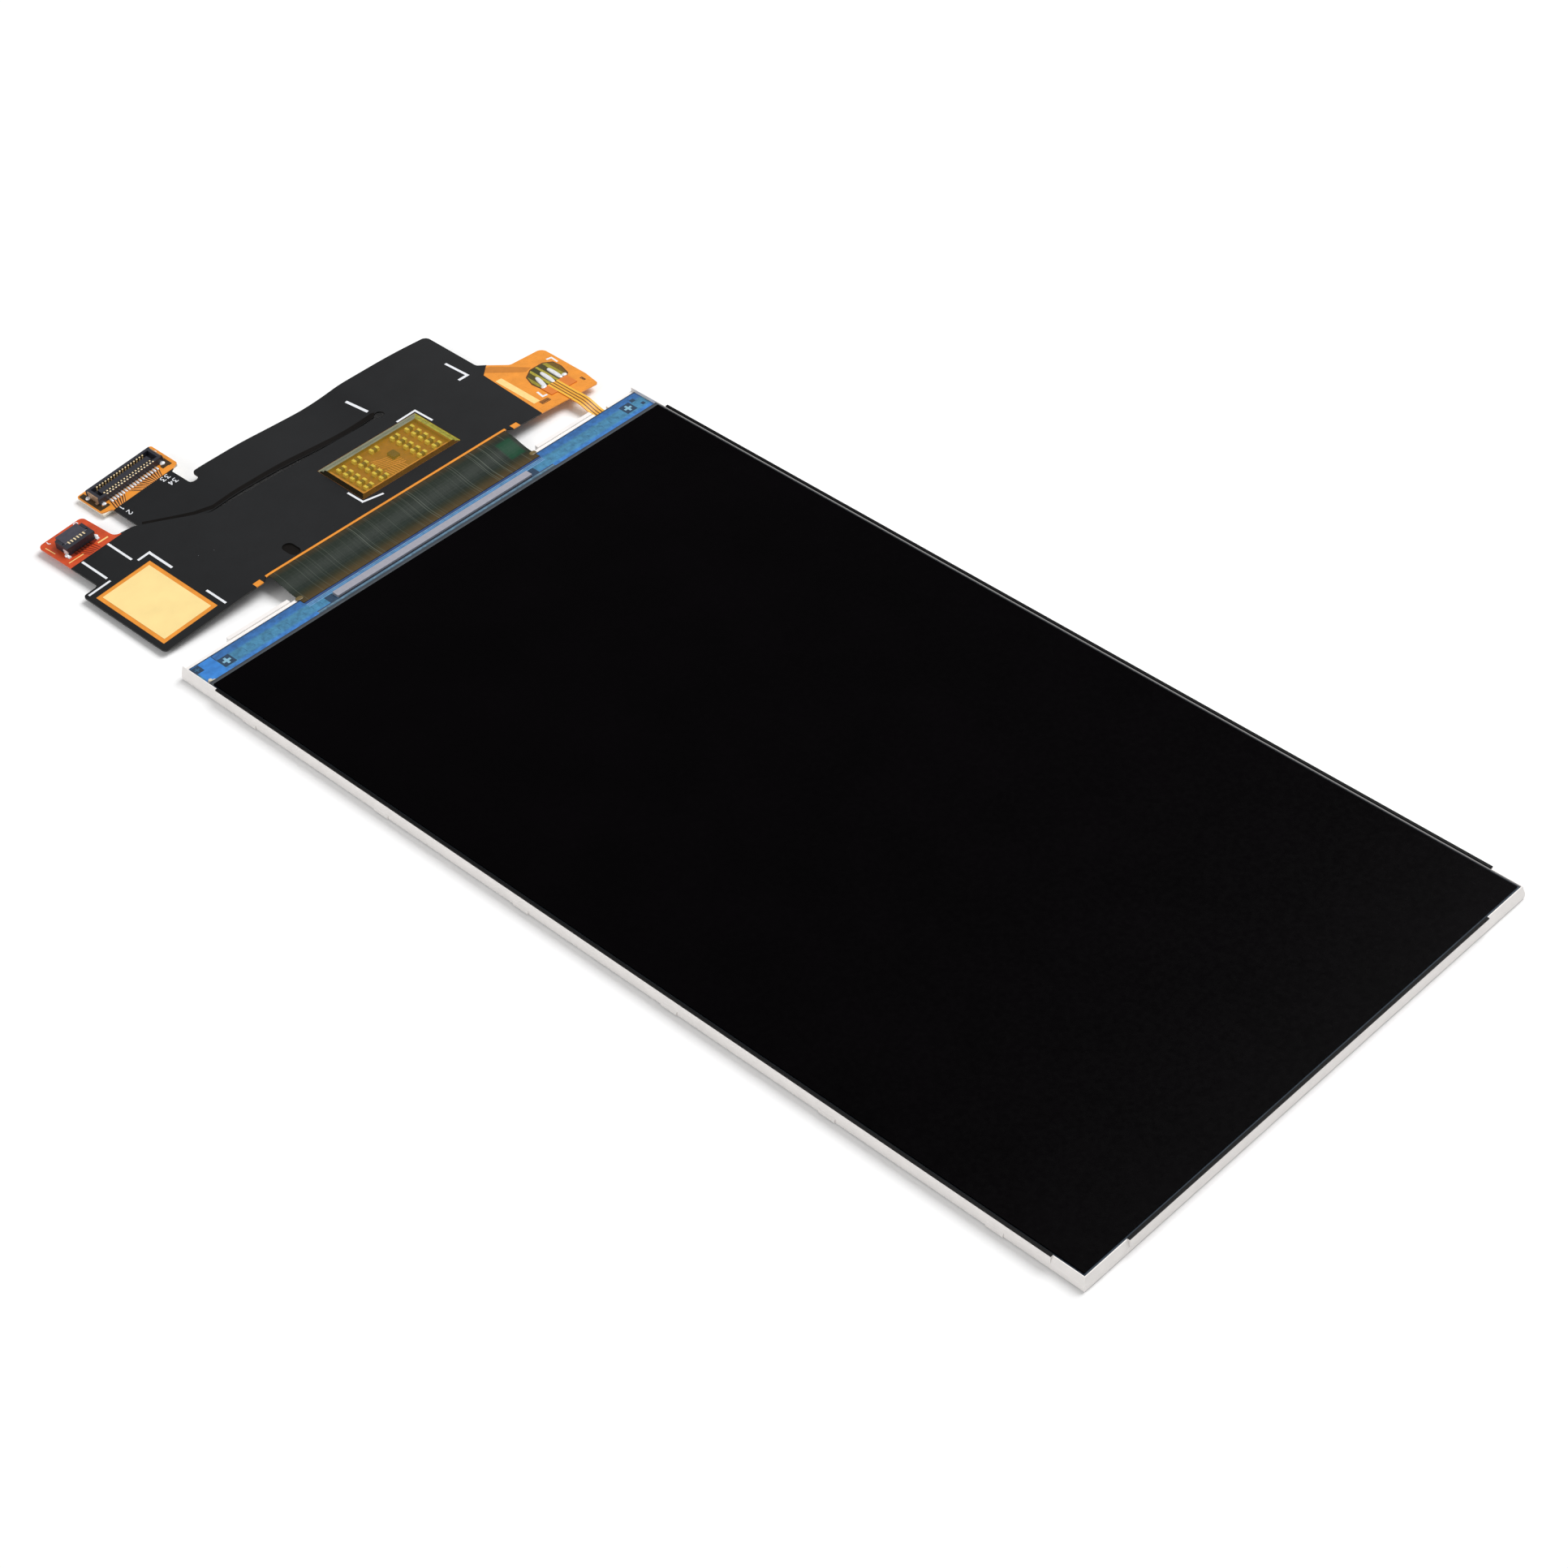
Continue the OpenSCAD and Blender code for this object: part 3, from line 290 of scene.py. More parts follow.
class Finishes:
    """Every finish of the module, most named for its real material and how it was made; a few are painted light or
    shade.
    """

    # Triacetate film on black crystal: near black, with a hard coat that hardly mirrors
    polariser = Finish("laminated_polariser_film", "#030203", roughness=0.25, specular=0.02, grain=9.0,
                       tone=0.25, relief=0.0006, relief_grain=0.6, uneven=0.04)
    # Drawn sheet glass with ground edges, seen dark from above
    glass = Finish("drawn_display_glass", "#51687C", roughness=0.08, coat=0.3, grain=3.0, tone=0.1,
                   relief=0.0004, relief_grain=1.5, uneven=0.02)
    filter_glass = BandedFinish("coated_filter_glass", "#39434E", roughness=0.12, coat=0.3, grain=0.9,
                                tone=0.12, relief=0.0004, uneven=0.03, axis=1, low=56.0, high=57.4, streak=0.02,
                                bands=((56.0, "#39434E"), (56.69, "#39434E"), (56.75, "#4C5258"),
                                       (57.0, "#42484E"), (57.2, "#343A42"), (57.3, "#28303A")))
    # Glass ledge under a clear blue varnish: glossy, with coated metal strips showing through
    ledge = BandedFinish("varnished_glass_ledge", "#2F74B8", roughness=0.16, coat=0.3, grain=0.5, tone=0.26,
                         relief=0.0006, relief_grain=0.5, uneven=0.05, axis=1, low=57.0, high=61.0,
                         streak=0.16,
                         bands=((57.0, "#3A7CC4"), (57.9, "#3878BE"), (58.2, "#417FA4"), (59.4, "#3F7B9C"),
                                (59.75, "#3068A4"), (60.5, "#2D629E"), (60.62, "#1C2F4A")))
    bond_edge = BandedFinish("anisotropic_bond_window", "#7FB2DC", roughness=0.18, coat=0.5, grain=0.5,
                             tone=0.2, relief=0.001, uneven=0.06, axis=1, low=59.0, high=60.0, streak=0.06,
                             bands=((59.0, "#3A6890"), (59.15, "#6C9EC8"), (59.3, "#3F709C"), (59.42, "#5E92BE"),
                                    (59.55, "#38648E"), (59.64, "#7CA6CA"), (59.7, "#1E3A6A"), (60.0, "#274C84")))
    mark = Finish("etched_chrome_mark", "#1D3A55", roughness=0.3, coat=0.4, tone=0.2)
    bright_ledge = Finish("clear_blue_varnish_end", "#3580CE", roughness=0.16, coat=0.3, grain=0.9, tone=0.2)
    pale_mark = Finish("clear_mark_opening", "#7FB0C8", roughness=0.3, coat=0.4, tone=0.1)
    tick = Finish("etched_chrome_tick", "#2F6386", roughness=0.3, coat=0.4, tone=0.2)
    seal = Finish("cured_epoxy_seal", "#9A958A", roughness=0.4)
    crystal = Finish("filled_crystal_layer", "#202428", roughness=0.3)
    # Glass-filled white polycarbonate, moulded: soft gloss, slightly translucent
    moulding = Finish("moulded_white_polycarbonate", "#F1EDEA", roughness=0.42, grain=1.4, tone=0.03,
                      relief=0.002, relief_grain=0.25)
    reflector = Finish("extruded_silver_reflector", "#D9DCDF", roughness=0.22, metallic=0.35, grain=6.0,
                       tone=0.03, relief=0.0008, relief_grain=1.2)
    acrylic = Finish("moulded_clear_acrylic", "#E4ECEE", roughness=0.08, transmission=0.6, grain=3.0,
                     tone=0.03)
    optical = Finish("embossed_prism_film", "#DDE3E6", roughness=0.35, grain=2.0, tone=0.03, relief=0.002,
                     relief_grain=0.06)
    diode_resin = Finish("cast_diode_resin", "#F0E8C8", roughness=0.35, tone=0.05)
    # Polyester tape with a matt black print
    tape = Finish("coated_black_tape", "#060607", roughness=0.5, specular=0.12, grain=0.8, tone=0.2, relief=0.002)
    silicon = Finish("ground_silicon", "#A9A9B4", roughness=0.3, metallic=0.25, grain=0.5, tone=0.05,
                     relief=0.0008, relief_grain=0.08)
    silver = Finish("dispensed_silver_paste", "#D9D2BE", roughness=0.45, metallic=0.3, tone=0.1, relief=0.01)
    bond_glue = Finish("cured_bond_film", "#6B5A34", roughness=0.35, tone=0.15)
    bond_circuit = TracedFinish("etched_olive_polyimide", "#2A332C", roughness=0.35, specular=0.2, grain=1.8,
                                tone=0.12, relief=0.0015, relief_grain=0.4, axis=1, low=59.9, high=65.6,
                                streak=0.12,
                                bands=((59.9, "#3A301C"), (60.1, "#4E3F25"), (60.6, "#443820"),
                                       (61.3, "#2C2D1E"), (61.9, "#1F2822"), (64.6, "#222A22"),
                                       (65.3, "#3A301E")))
    # Polyimide over copper: glossy, amber, with the etched copper showing a little darker
    amber = Finish("rolled_amber_polyimide", "#E8922E", roughness=0.3, coat=0.2, grain=1.2, tone=0.09,
                   relief=0.002, relief_grain=0.3)
    red = Finish("pressed_red_laminate", "#CC4A1E", roughness=0.34, coat=0.1, grain=0.7, tone=0.13,
                 relief=0.003, relief_grain=0.25)
    copper_shadow = Finish("etched_copper_gap", "#5A3512", roughness=0.35, tone=0.15, grain=0.3)
    bright_trace = Finish("etched_copper_trace", "#EE9A48", roughness=0.35, tone=0.1, grain=0.3)
    gold_line = Finish("plated_gold_line", "#FFD98C", roughness=0.4, metallic=0.1, tone=0.06, grain=0.4)
    dim_trace = Finish("broad_copper_under_film", "#C67A26", roughness=0.35, tone=0.08, grain=0.6)
    pocket = Finish("bare_resin_pocket", "#3A2A10", roughness=0.4, tone=0.2, grain=0.3)
    film_edge = Finish("sheared_film_edge", "#141210", roughness=0.5, tone=0.15, grain=0.5)
    # Window in the cover film of the tab: etched strips between the soldered joints
    joint_window = BandedFinish("etched_joint_window", "#6A5A1E", roughness=0.3, grain=0.4, tone=0.15, axis=0,
                                low=25.0, high=30.0, streak=0.08, soft=False,
                                bands=((25.0, "#5A4614"), (25.5, "#8F8426"), (25.95, "#4A4216"),
                                       (26.7, "#A39830"), (27.1, "#3C3A18"), (27.85, "#A39830"),
                                       (28.2, "#46401A"), (29.0, "#9A8E2C"), (29.5, "#6A5218")))
    # Tail film: gold over wide copper, with three etched gaps along it
    tail_film = BandedFinish("rolled_tail_film", "#E3A136", roughness=0.35, grain=1.2, tone=0.05, axis=0,
                             low=25.0, high=29.5, streak=0.0, soft=False,
                             bands=((25.0, "#D97A2C"), (26.36, "#EDB53C"), (26.66, "#7A4410"), (26.82, "#E8A834"),
                                    (27.07, "#7A4410"), (27.23, "#E8A834"), (27.49, "#7A4410"),
                                    (27.65, "#EDB53C"), (27.94, "#D97A2C")))
    clip = Finish("tinned_bronze_clip", "#B39478", roughness=0.35, metallic=0.4, tone=0.08, grain=0.3)
    # Gold key contacts whose tails in front of the housing, below y 84.55, are painted dark brown as painted shade
    key_contact = BandedFinish("plated_key_contact_shaded_tails", "#FFDD96", roughness=0.3, metallic=0.3, tone=0.05, grain=0.2,
                               axis=1, low=84.0, high=86.0, streak=0.0, soft=False,
                               bands=((84.0, "#5A2412"), (84.55, "#FFDD96")))
    # Dark red of the etched traces, also used for the painted shade in front of the key connector
    red_traces_and_shade = Finish("etched_traces_and_painted_shade_on_red", "#7A2410", roughness=0.35, tone=0.15, grain=0.3)
    contact_tip = Finish("plated_contact_tip", "#FFE9BC", roughness=0.3, metallic=0.2, tone=0.04, grain=0.2)
    # Slate strip in front of the chip: the lighter bands are painted glints, and the darkest band at the chip's foot
    # is painted shade
    slate_strip_and_glints = BandedFinish("coated_strip_with_painted_glints", "#4F6F86", roughness=0.16, coat=0.4, grain=0.35, tone=0.3,
                              axis=1, low=57.3, high=58.0, streak=0.05,
                              bands=((57.3, "#24303C"), (57.45, "#56788E"), (57.6, "#3A5468"), (57.75, "#6A8CA0"),
                                     (57.9, "#38506A"), (58.0, "#10151C")))
    # Matt black polyimide cover film
    cover = SpeckledFinish("pressed_black_cover_film", "#131416", roughness=0.45, specular=0.3, grain=2.6, tone=0.12,
                           relief=0.0012, relief_grain=0.2, uneven=0.05)
    # Near-black painted shade, laid along the slit and at the back of the slot hole
    painted_shade_film = Finish("painted_shade_black_film", "#0E0B09", roughness=0.6, specular=0.1, grain=0.8, tone=0.2)
    ink = Finish("screen_printed_white_ink", "#E6E8EC", roughness=0.55, tone=0.05, relief=0.004)
    gold = Finish("plated_gold_pad", "#FFE29A", roughness=0.42, metallic=0.1, grain=2.2, tone=0.04,
                  relief=0.002, relief_grain=0.15)
    contact = Finish("plated_gold_contact", "#FFDD96", roughness=0.3, metallic=0.35, tone=0.06, grain=0.2)
    solder = Finish("reflowed_tin_solder", "#F4F5F7", roughness=0.28, metallic=0.3, grain=0.3, tone=0.08,
                    relief=0.01, relief_grain=0.2)
    resin = Finish("moulded_black_polymer", "#2B2C35", roughness=0.38, grain=0.5, tone=0.14, relief=0.003,
                   relief_grain=0.08)
    lock_resin = Finish("moulded_grey_polymer", "#403F4A", roughness=0.4, grain=0.5, tone=0.12, relief=0.003,
                        relief_grain=0.08)
    laminate = Finish("pressed_glass_laminate", "#F0EAD8", roughness=0.45, grain=0.6, tone=0.06, relief=0.004,
                      relief_grain=0.15)
    ceramic = Finish("fired_ceramic_body", "#4A4218", roughness=0.5, tone=0.12)
    cap_tin = Finish("tinned_capacitor_end", "#FFF066", roughness=0.3, metallic=0.1, tone=0.08)
    chip = Finish("moulded_chip_resin", "#1F2117", roughness=0.5, tone=0.1)
    field = Finish("masked_copper_field", "#A0601A", roughness=0.35, coat=0.2, grain=0.8, tone=0.2)
    # Clear amber polyimide tape: glossy, what lies under it shows yellow
    window = Finish("clear_amber_tape", "#B8921E", roughness=0.2, coat=0.1, alpha=0.2, grain=1.5, tone=0.1,
                    relief=0.01, relief_grain=0.9)
    # Lit and shaded copies of the amber tape for its sloped folds: the far and right folds are lighter, painted
    # light; the near and left folds are darker, painted shade
    tape_far_fold_painted_light = Finish("amber_tape_far_fold_painted_light", "#8C8F76", roughness=0.3, alpha=0.8, grain=0.9, tone=0.12)
    tape_right_fold_painted_light = Finish("amber_tape_right_fold_painted_light", "#A8A236", roughness=0.25, alpha=0.75, grain=0.5, tone=0.3)
    tape_near_fold_painted_shade = Finish("amber_tape_near_fold_painted_shade", "#6A4A14", roughness=0.4, specular=0.2, alpha=0.7, grain=0.9, tone=0.15)
    tape_left_fold_painted_shade = Finish("amber_tape_left_fold_painted_shade", "#241E0C", roughness=0.5, specular=0.1, alpha=0.9, grain=0.9, tone=0.15)


# Plan outlines and meshes


def fillet(corners: Sequence[Corner], steps: int = 7) -> list[Point]:
    """Rounds the corners of a plan outline.

    Args:
        corners: Corner points, each with its fillet radius.
        steps: Segments of each fillet.

    Returns:
        The rounded outline.
    """
    out: list[Point] = []
    for i, (x, y, r) in enumerate(corners):
        here = np.array([x, y])
        if r == 0:
            out.append((x, y))
            continue
        before = np.array(corners[i - 1][:2]) - here
        after = np.array(corners[(i + 1) % len(corners)][:2]) - here
        u, v = before / np.linalg.norm(before), after / np.linalg.norm(after)
        half = math.acos(float(np.clip(u @ v, -1, 1))) / 2
        mid = here + (u + v) / np.linalg.norm(u + v) * r / math.sin(half)
        start, end = here + u * r / math.tan(half) - mid, here + v * r / math.tan(half) - mid
        a0 = math.atan2(start[1], start[0])
        turn = math.atan2(start[0] * end[1] - start[1] * end[0], float(start @ end))
        out += [(float(mid[0] + r * math.cos(a0 + turn * k / steps)),
                 float(mid[1] + r * math.sin(a0 + turn * k / steps))) for k in range(steps + 1)]
    return out


def rectangle(x0: float, y0: float, x1: float, y1: float) -> list[Point]:
    """Corners of an upright rectangle in plan."""
    return [(x0, y0), (x1, y0), (x1, y1), (x0, y1)]


def stroke(start: Point, end: Point, width: float) -> list[Point]:
    """Outline of a straight printed line between two points."""
    a, b = np.array(start), np.array(end)
    side = np.array([a[1] - b[1], b[0] - a[0]]) / np.linalg.norm(b - a) * width / 2
    return [tuple(a + side), tuple(a - side), tuple(b - side), tuple(b + side)]


def inside(loop: Sequence[Point], points: np.ndarray) -> np.ndarray:
    """Says which points lie inside a closed plan outline."""
    px, py = points[:, 0], points[:, 1]
    hit = np.zeros(len(points), bool)
    for (x0, y0), (x1, y1) in zip(loop, [*loop[1:], loop[0]]):
        if y0 != y1:
            cross = (y0 > py) != (y1 > py)
            hit ^= cross & (px < (x1 - x0) * (py - y0) / (y1 - y0) + x0)
    return hit


@dataclass
class Region:
    """A flat area in plan: all inside the outlines but not the cuts, with creases as extra edges."""

    outlines: list[list[Point]]
    cuts: list[list[Point]] = field(default_factory=list)
    creases: list[list[Point]] = field(default_factory=list)

    def triangles(self, pitch: float, lines_y: Iterable[float] = ()) -> tuple[np.ndarray, list[list[int]]]:
        """Fills the region with triangles, cut along upright lines so that it can bend.

        Args:
            pitch: Distance between the upright lines.
            lines_y: Extra level lines.

        Returns:
            Points in plan, and triangles as index triples.
        """
        points: list[Point] = []
        edges: list[tuple[int, int]] = []
        for loop in [*self.outlines, *self.cuts, *self.creases]:
            first = len(points)
            points += loop
            edges += [(first + i, first + (i + 1) % len(loop)) for i in range(len(loop))]
        flat = np.array([p for loop in self.outlines for p in loop])
        low, high = flat.min(0), flat.max(0)
        count = max(1, int((high[0] - low[0]) / pitch))
        for k in range(1, count):
            x = low[0] + (high[0] - low[0]) * k / count
            points += [(x, low[1] - 0.5), (x, high[1] + 0.5)]
            edges.append((len(points) - 2, len(points) - 1))
        for y in lines_y:
            points += [(low[0] - 0.5, y), (high[0] + 0.5, y)]
            edges.append((len(points) - 2, len(points) - 1))
        verts, _, faces, *_ = delaunay_2d_cdt([Vector(p) for p in points], edges, [], 0, 1e-6)
        plan = np.array([tuple(v) for v in verts])
        centres = np.array([plan[list(f)].mean(0) for f in faces])
        keep = np.zeros(len(faces), bool)
        for loop in self.outlines:
            keep |= inside(loop, centres)
        for loop in self.cuts:
            keep &= ~inside(loop, centres)
        return plan, [list(f) for f, k in zip(faces, keep) if k]


def finish_mesh(name: str, bm: bmesh.types.BMesh, angle: float = 32.0) -> bpy.types.Object:
    """Turns a bmesh in millimetres into an object with outward faces and smooth, creased shading."""
    bmesh.ops.remove_doubles(bm, verts=bm.verts, dist=1e-6)
    bmesh.ops.recalc_face_normals(bm, faces=bm.faces)
    bmesh.ops.scale(bm, vec=(MM, MM, MM), verts=bm.verts)
    for face in bm.faces:
        face.smooth = True
    for edge in bm.edges:
        edge.smooth = edge.is_manifold and edge.calc_face_angle(0.0) < math.radians(angle)
    mesh = bpy.data.meshes.new(name)
    bm.to_mesh(mesh)
    bm.free()
    made = bpy.data.objects.new(name, mesh)
    bpy.context.scene.collection.objects.link(made)
    return made


def layer(name: str, region: Region, top: Callable[[float, float], float], thickness: float,
          pitch: float = 50.0, lines_y: Iterable[float] = ()) -> bpy.types.Object:
    """Builds a thin closed layer over a region, whose top follows a height function.

    Args:
        name: Name of the object.
        region: Its plan.
        top: Height of the top face at a place in plan.
        thickness: Thickness, measured upright.
        pitch: Distance between the lines that let it bend.
        lines_y: Extra level lines.

    Returns:
        The new object.
    """
    plan, faces = region.triangles(pitch, lines_y)
    bm = bmesh.new()
    used = sorted({i for f in faces for i in f})
    verts = {i: bm.verts.new((plan[i][0], plan[i][1], top(float(plan[i][0]), float(plan[i][1])))) for i in used}
    for f in faces:
        try:
            bm.faces.new([verts[i] for i in f])
        except ValueError:
            continue
    bmesh.ops.recalc_face_normals(bm, faces=bm.faces)
    grown = bmesh.ops.extrude_face_region(bm, geom=list(bm.faces))
    lower = [g for g in grown["geom"] if isinstance(g, bmesh.types.BMVert)]
    bmesh.ops.translate(bm, vec=(0, 0, -thickness), verts=lower)
    return finish_mesh(name, bm)


def lump(name: str, centre: Sequence[float], size: Sequence[float], turn: float = 0.0, power: float = 2.4,
         seed: int = 1, rough: float = 0.06, detail: tuple[int, int] = (28, 16)) -> bpy.types.Object:
    """Builds a rounded closed lump, such as a solder joint, as a slightly uneven superellipsoid.

    Args:
        name: Name of the object.
        centre: Its centre.
        size: Full length, width and height.
        turn: Angle about the upright axis, in degrees.
        power: 2 is an ellipsoid, more is boxier.
        seed: Seed of its unevenness.
        rough: Share by which its radius wanders.
        detail: Segments around and rings.

    Returns:
        The new object.
    """
    bm = bmesh.new()
    bmesh.ops.create_uvsphere(bm, u_segments=detail[0], v_segments=detail[1], radius=1.0)
    rng = np.random.default_rng(seed)
    waves = rng.normal(size=(4, 3)) * 1.6
    phases = rng.uniform(0, 6.28, 4)
    for v in bm.verts:
        co = np.array(v.co)
        boxy = np.sign(co) * np.abs(co) ** (2 / power)
        wave = 1 + rough * float(np.mean(np.sin(waves @ co + phases)))
        v.co = Vector(boxy * wave * np.array(size) / 2)
    place = Matrix.Translation(Vector(centre)) @ Matrix.Rotation(math.radians(turn), 4, "Z")
    bmesh.ops.transform(bm, matrix=place, verts=bm.verts)
    return finish_mesh(name, bm, 60.0)


def dress(obj: bpy.types.Object, finish: Finish, body: Body = Body.MODULE,
          stands_for: Sequence[str] = ()) -> bpy.types.Object:
    """Gives a new piece its finish, its body and the nodes it stands for."""
    obj.data.materials.clear()
    obj.data.materials.append(finish.material())
    return settle(obj, body, stands_for)


def settle(obj: bpy.types.Object, body: Body = Body.MODULE,
           stands_for: Sequence[str] = ()) -> bpy.types.Object:
    """Rides a finished piece on its body and reports it."""
    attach(obj, body.value)
    if stands_for:
        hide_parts(*stands_for)
    LOG.info("%s: %d faces", obj.name, len(obj.data.polygons))
    return obj


def coat_node(nodes: dict[str, bpy.types.Object], name: str, finish: Finish) -> None:
    """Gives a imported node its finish; its mesh stays as it is."""
    obj = nodes[name]
    made = finish.material()
    if not obj.material_slots:
        obj.data.materials.append(made)
    for slot in obj.material_slots:
        slot.material = made
    LOG.info("%s keeps its shape in %s", name, finish.name)


# Repeated small pieces


@dataclass(frozen=True)
class Repeater:
    """Geometry Nodes that put one small shape on every vertex of a carrier."""

    name: str
    shape: Shape
    size: tuple[float, float, float]
    finish: Finish
    jitter: float = 0.0
    seed: int = 3

    def tree(self) -> bpy.types.NodeTree:
        """Builds the node tree, with its sizes as named inputs."""
        tree = bpy.data.node_groups.new(self.name + "_tree", "GeometryNodeTree")
        face = tree.interface
        face.new_socket("Geometry", in_out="INPUT", socket_type="NodeSocketGeometry")
        for label in ("Length", "Width", "Height", "Jitter"):
            face.new_socket(label, in_out="INPUT", socket_type="NodeSocketFloat")
        face.new_socket("Seed", in_out="INPUT", socket_type="NodeSocketInt")
        face.new_socket("Material", in_out="INPUT", socket_type="NodeSocketMaterial")
        face.new_socket("Geometry", in_out="OUTPUT", socket_type="NodeSocketGeometry")
        ask = add(tree, "NodeGroupInput").outputs
        size = add(tree, "ShaderNodeCombineXYZ", {0: ask["Length"], 1: ask["Width"], 2: ask["Height"]})
        if self.shape is Shape.BOX:
            unit = add(tree, "GeometryNodeMeshCube", {"Size": (1.0, 1.0, 1.0)}).outputs["Mesh"]
        else:
            ball = add(tree, "GeometryNodeMeshIcoSphere", {"Radius": 0.5, "Subdivisions": 3})
            unit = add(tree, "GeometryNodeSetShadeSmooth", {"Geometry": ball.outputs["Mesh"]}).outputs[0]
        low = add(tree, "ShaderNodeMath", {0: 1.0, 1: ask["Jitter"]}, operation="SUBTRACT")
        high = add(tree, "ShaderNodeMath", {0: 1.0, 1: ask["Jitter"]}, operation="ADD")
        spread = add(tree, "FunctionNodeRandomValue", {2: low.outputs[0], 3: high.outputs[0],
                                                       "Seed": ask["Seed"]}, data_type="FLOAT")
        scale = add(tree, "ShaderNodeVectorMath", {0: size.outputs[0], "Scale": spread.outputs[1]},
                    operation="SCALE")
        copies = add(tree, "GeometryNodeInstanceOnPoints", {"Points": ask["Geometry"], "Instance": unit,
                                                            "Scale": scale.outputs[0]})
        real = add(tree, "GeometryNodeRealizeInstances", {"Geometry": copies.outputs[0]})
        paint = add(tree, "GeometryNodeSetMaterial", {"Geometry": real.outputs[0],
                                                      "Material": ask["Material"]})
        add(tree, "NodeGroupOutput", {0: paint.outputs[0]})
        return tree

    def build(self, places: Sequence[Sequence[float]], place: Matrix | None = None) -> bpy.types.Object:
        """Builds the copies as one plain mesh.

        Args:
            places: Centre of each copy, in millimetres.
            place: Where the whole group sits, in millimetres.

        Returns:
            The new object.
        """
        points = bpy.data.meshes.new(self.name + "_places")
        points.from_pydata([Vector(p) * MM for p in places], [], [])
        carrier = bpy.data.objects.new(self.name + "_carrier", points)
        bpy.context.scene.collection.objects.link(carrier)
        modifier = carrier.modifiers.new("repeat", "NODES")
        modifier.node_group = self.tree()
        values = {"Length": self.size[0] * MM, "Width": self.size[1] * MM, "Height": self.size[2] * MM,
                  "Jitter": self.jitter, "Seed": self.seed, "Material": self.finish.material()}
        for item in modifier.node_group.interface.items_tree:
            if item.in_out == "INPUT" and item.name in values:
                modifier[item.identifier] = values[item.name]
        graph = bpy.context.evaluated_depsgraph_get()
        mesh = bpy.data.meshes.new_from_object(carrier.evaluated_get(graph), depsgraph=graph)
        mesh.name = self.name
        bpy.data.objects.remove(carrier)
        if place is not None:
            shift = place.copy()
            shift.translation = shift.translation * MM
            mesh.transform(shift)
        made = bpy.data.objects.new(self.name, mesh)
        bpy.context.scene.collection.objects.link(made)
        return made


# The display cell and its backlight


@dataclass
class Backlight:
    """White mould frame, films, diodes and tapes under and around the cell."""

    nodes: dict[str, bpy.types.Object]

    def dress(self) -> None:
        """Gives each layer its finish."""
        for name, finish in {
            "rear_reflector": Finishes.reflector, "light_guide": Finishes.acrylic,
            "diffuser_film": Finishes.optical, "lower_prism_film": Finishes.optical,
            "upper_prism_film": Finishes.optical, "led_strip_flex": Finishes.amber,
            "led_packages": Finishes.diode_resin, "mould_frame": Finishes.moulding,
            "rim_tape": Finishes.tape, "edge_tapes": Finishes.tape,
        }.items():
            coat_node(self.nodes, name, finish)


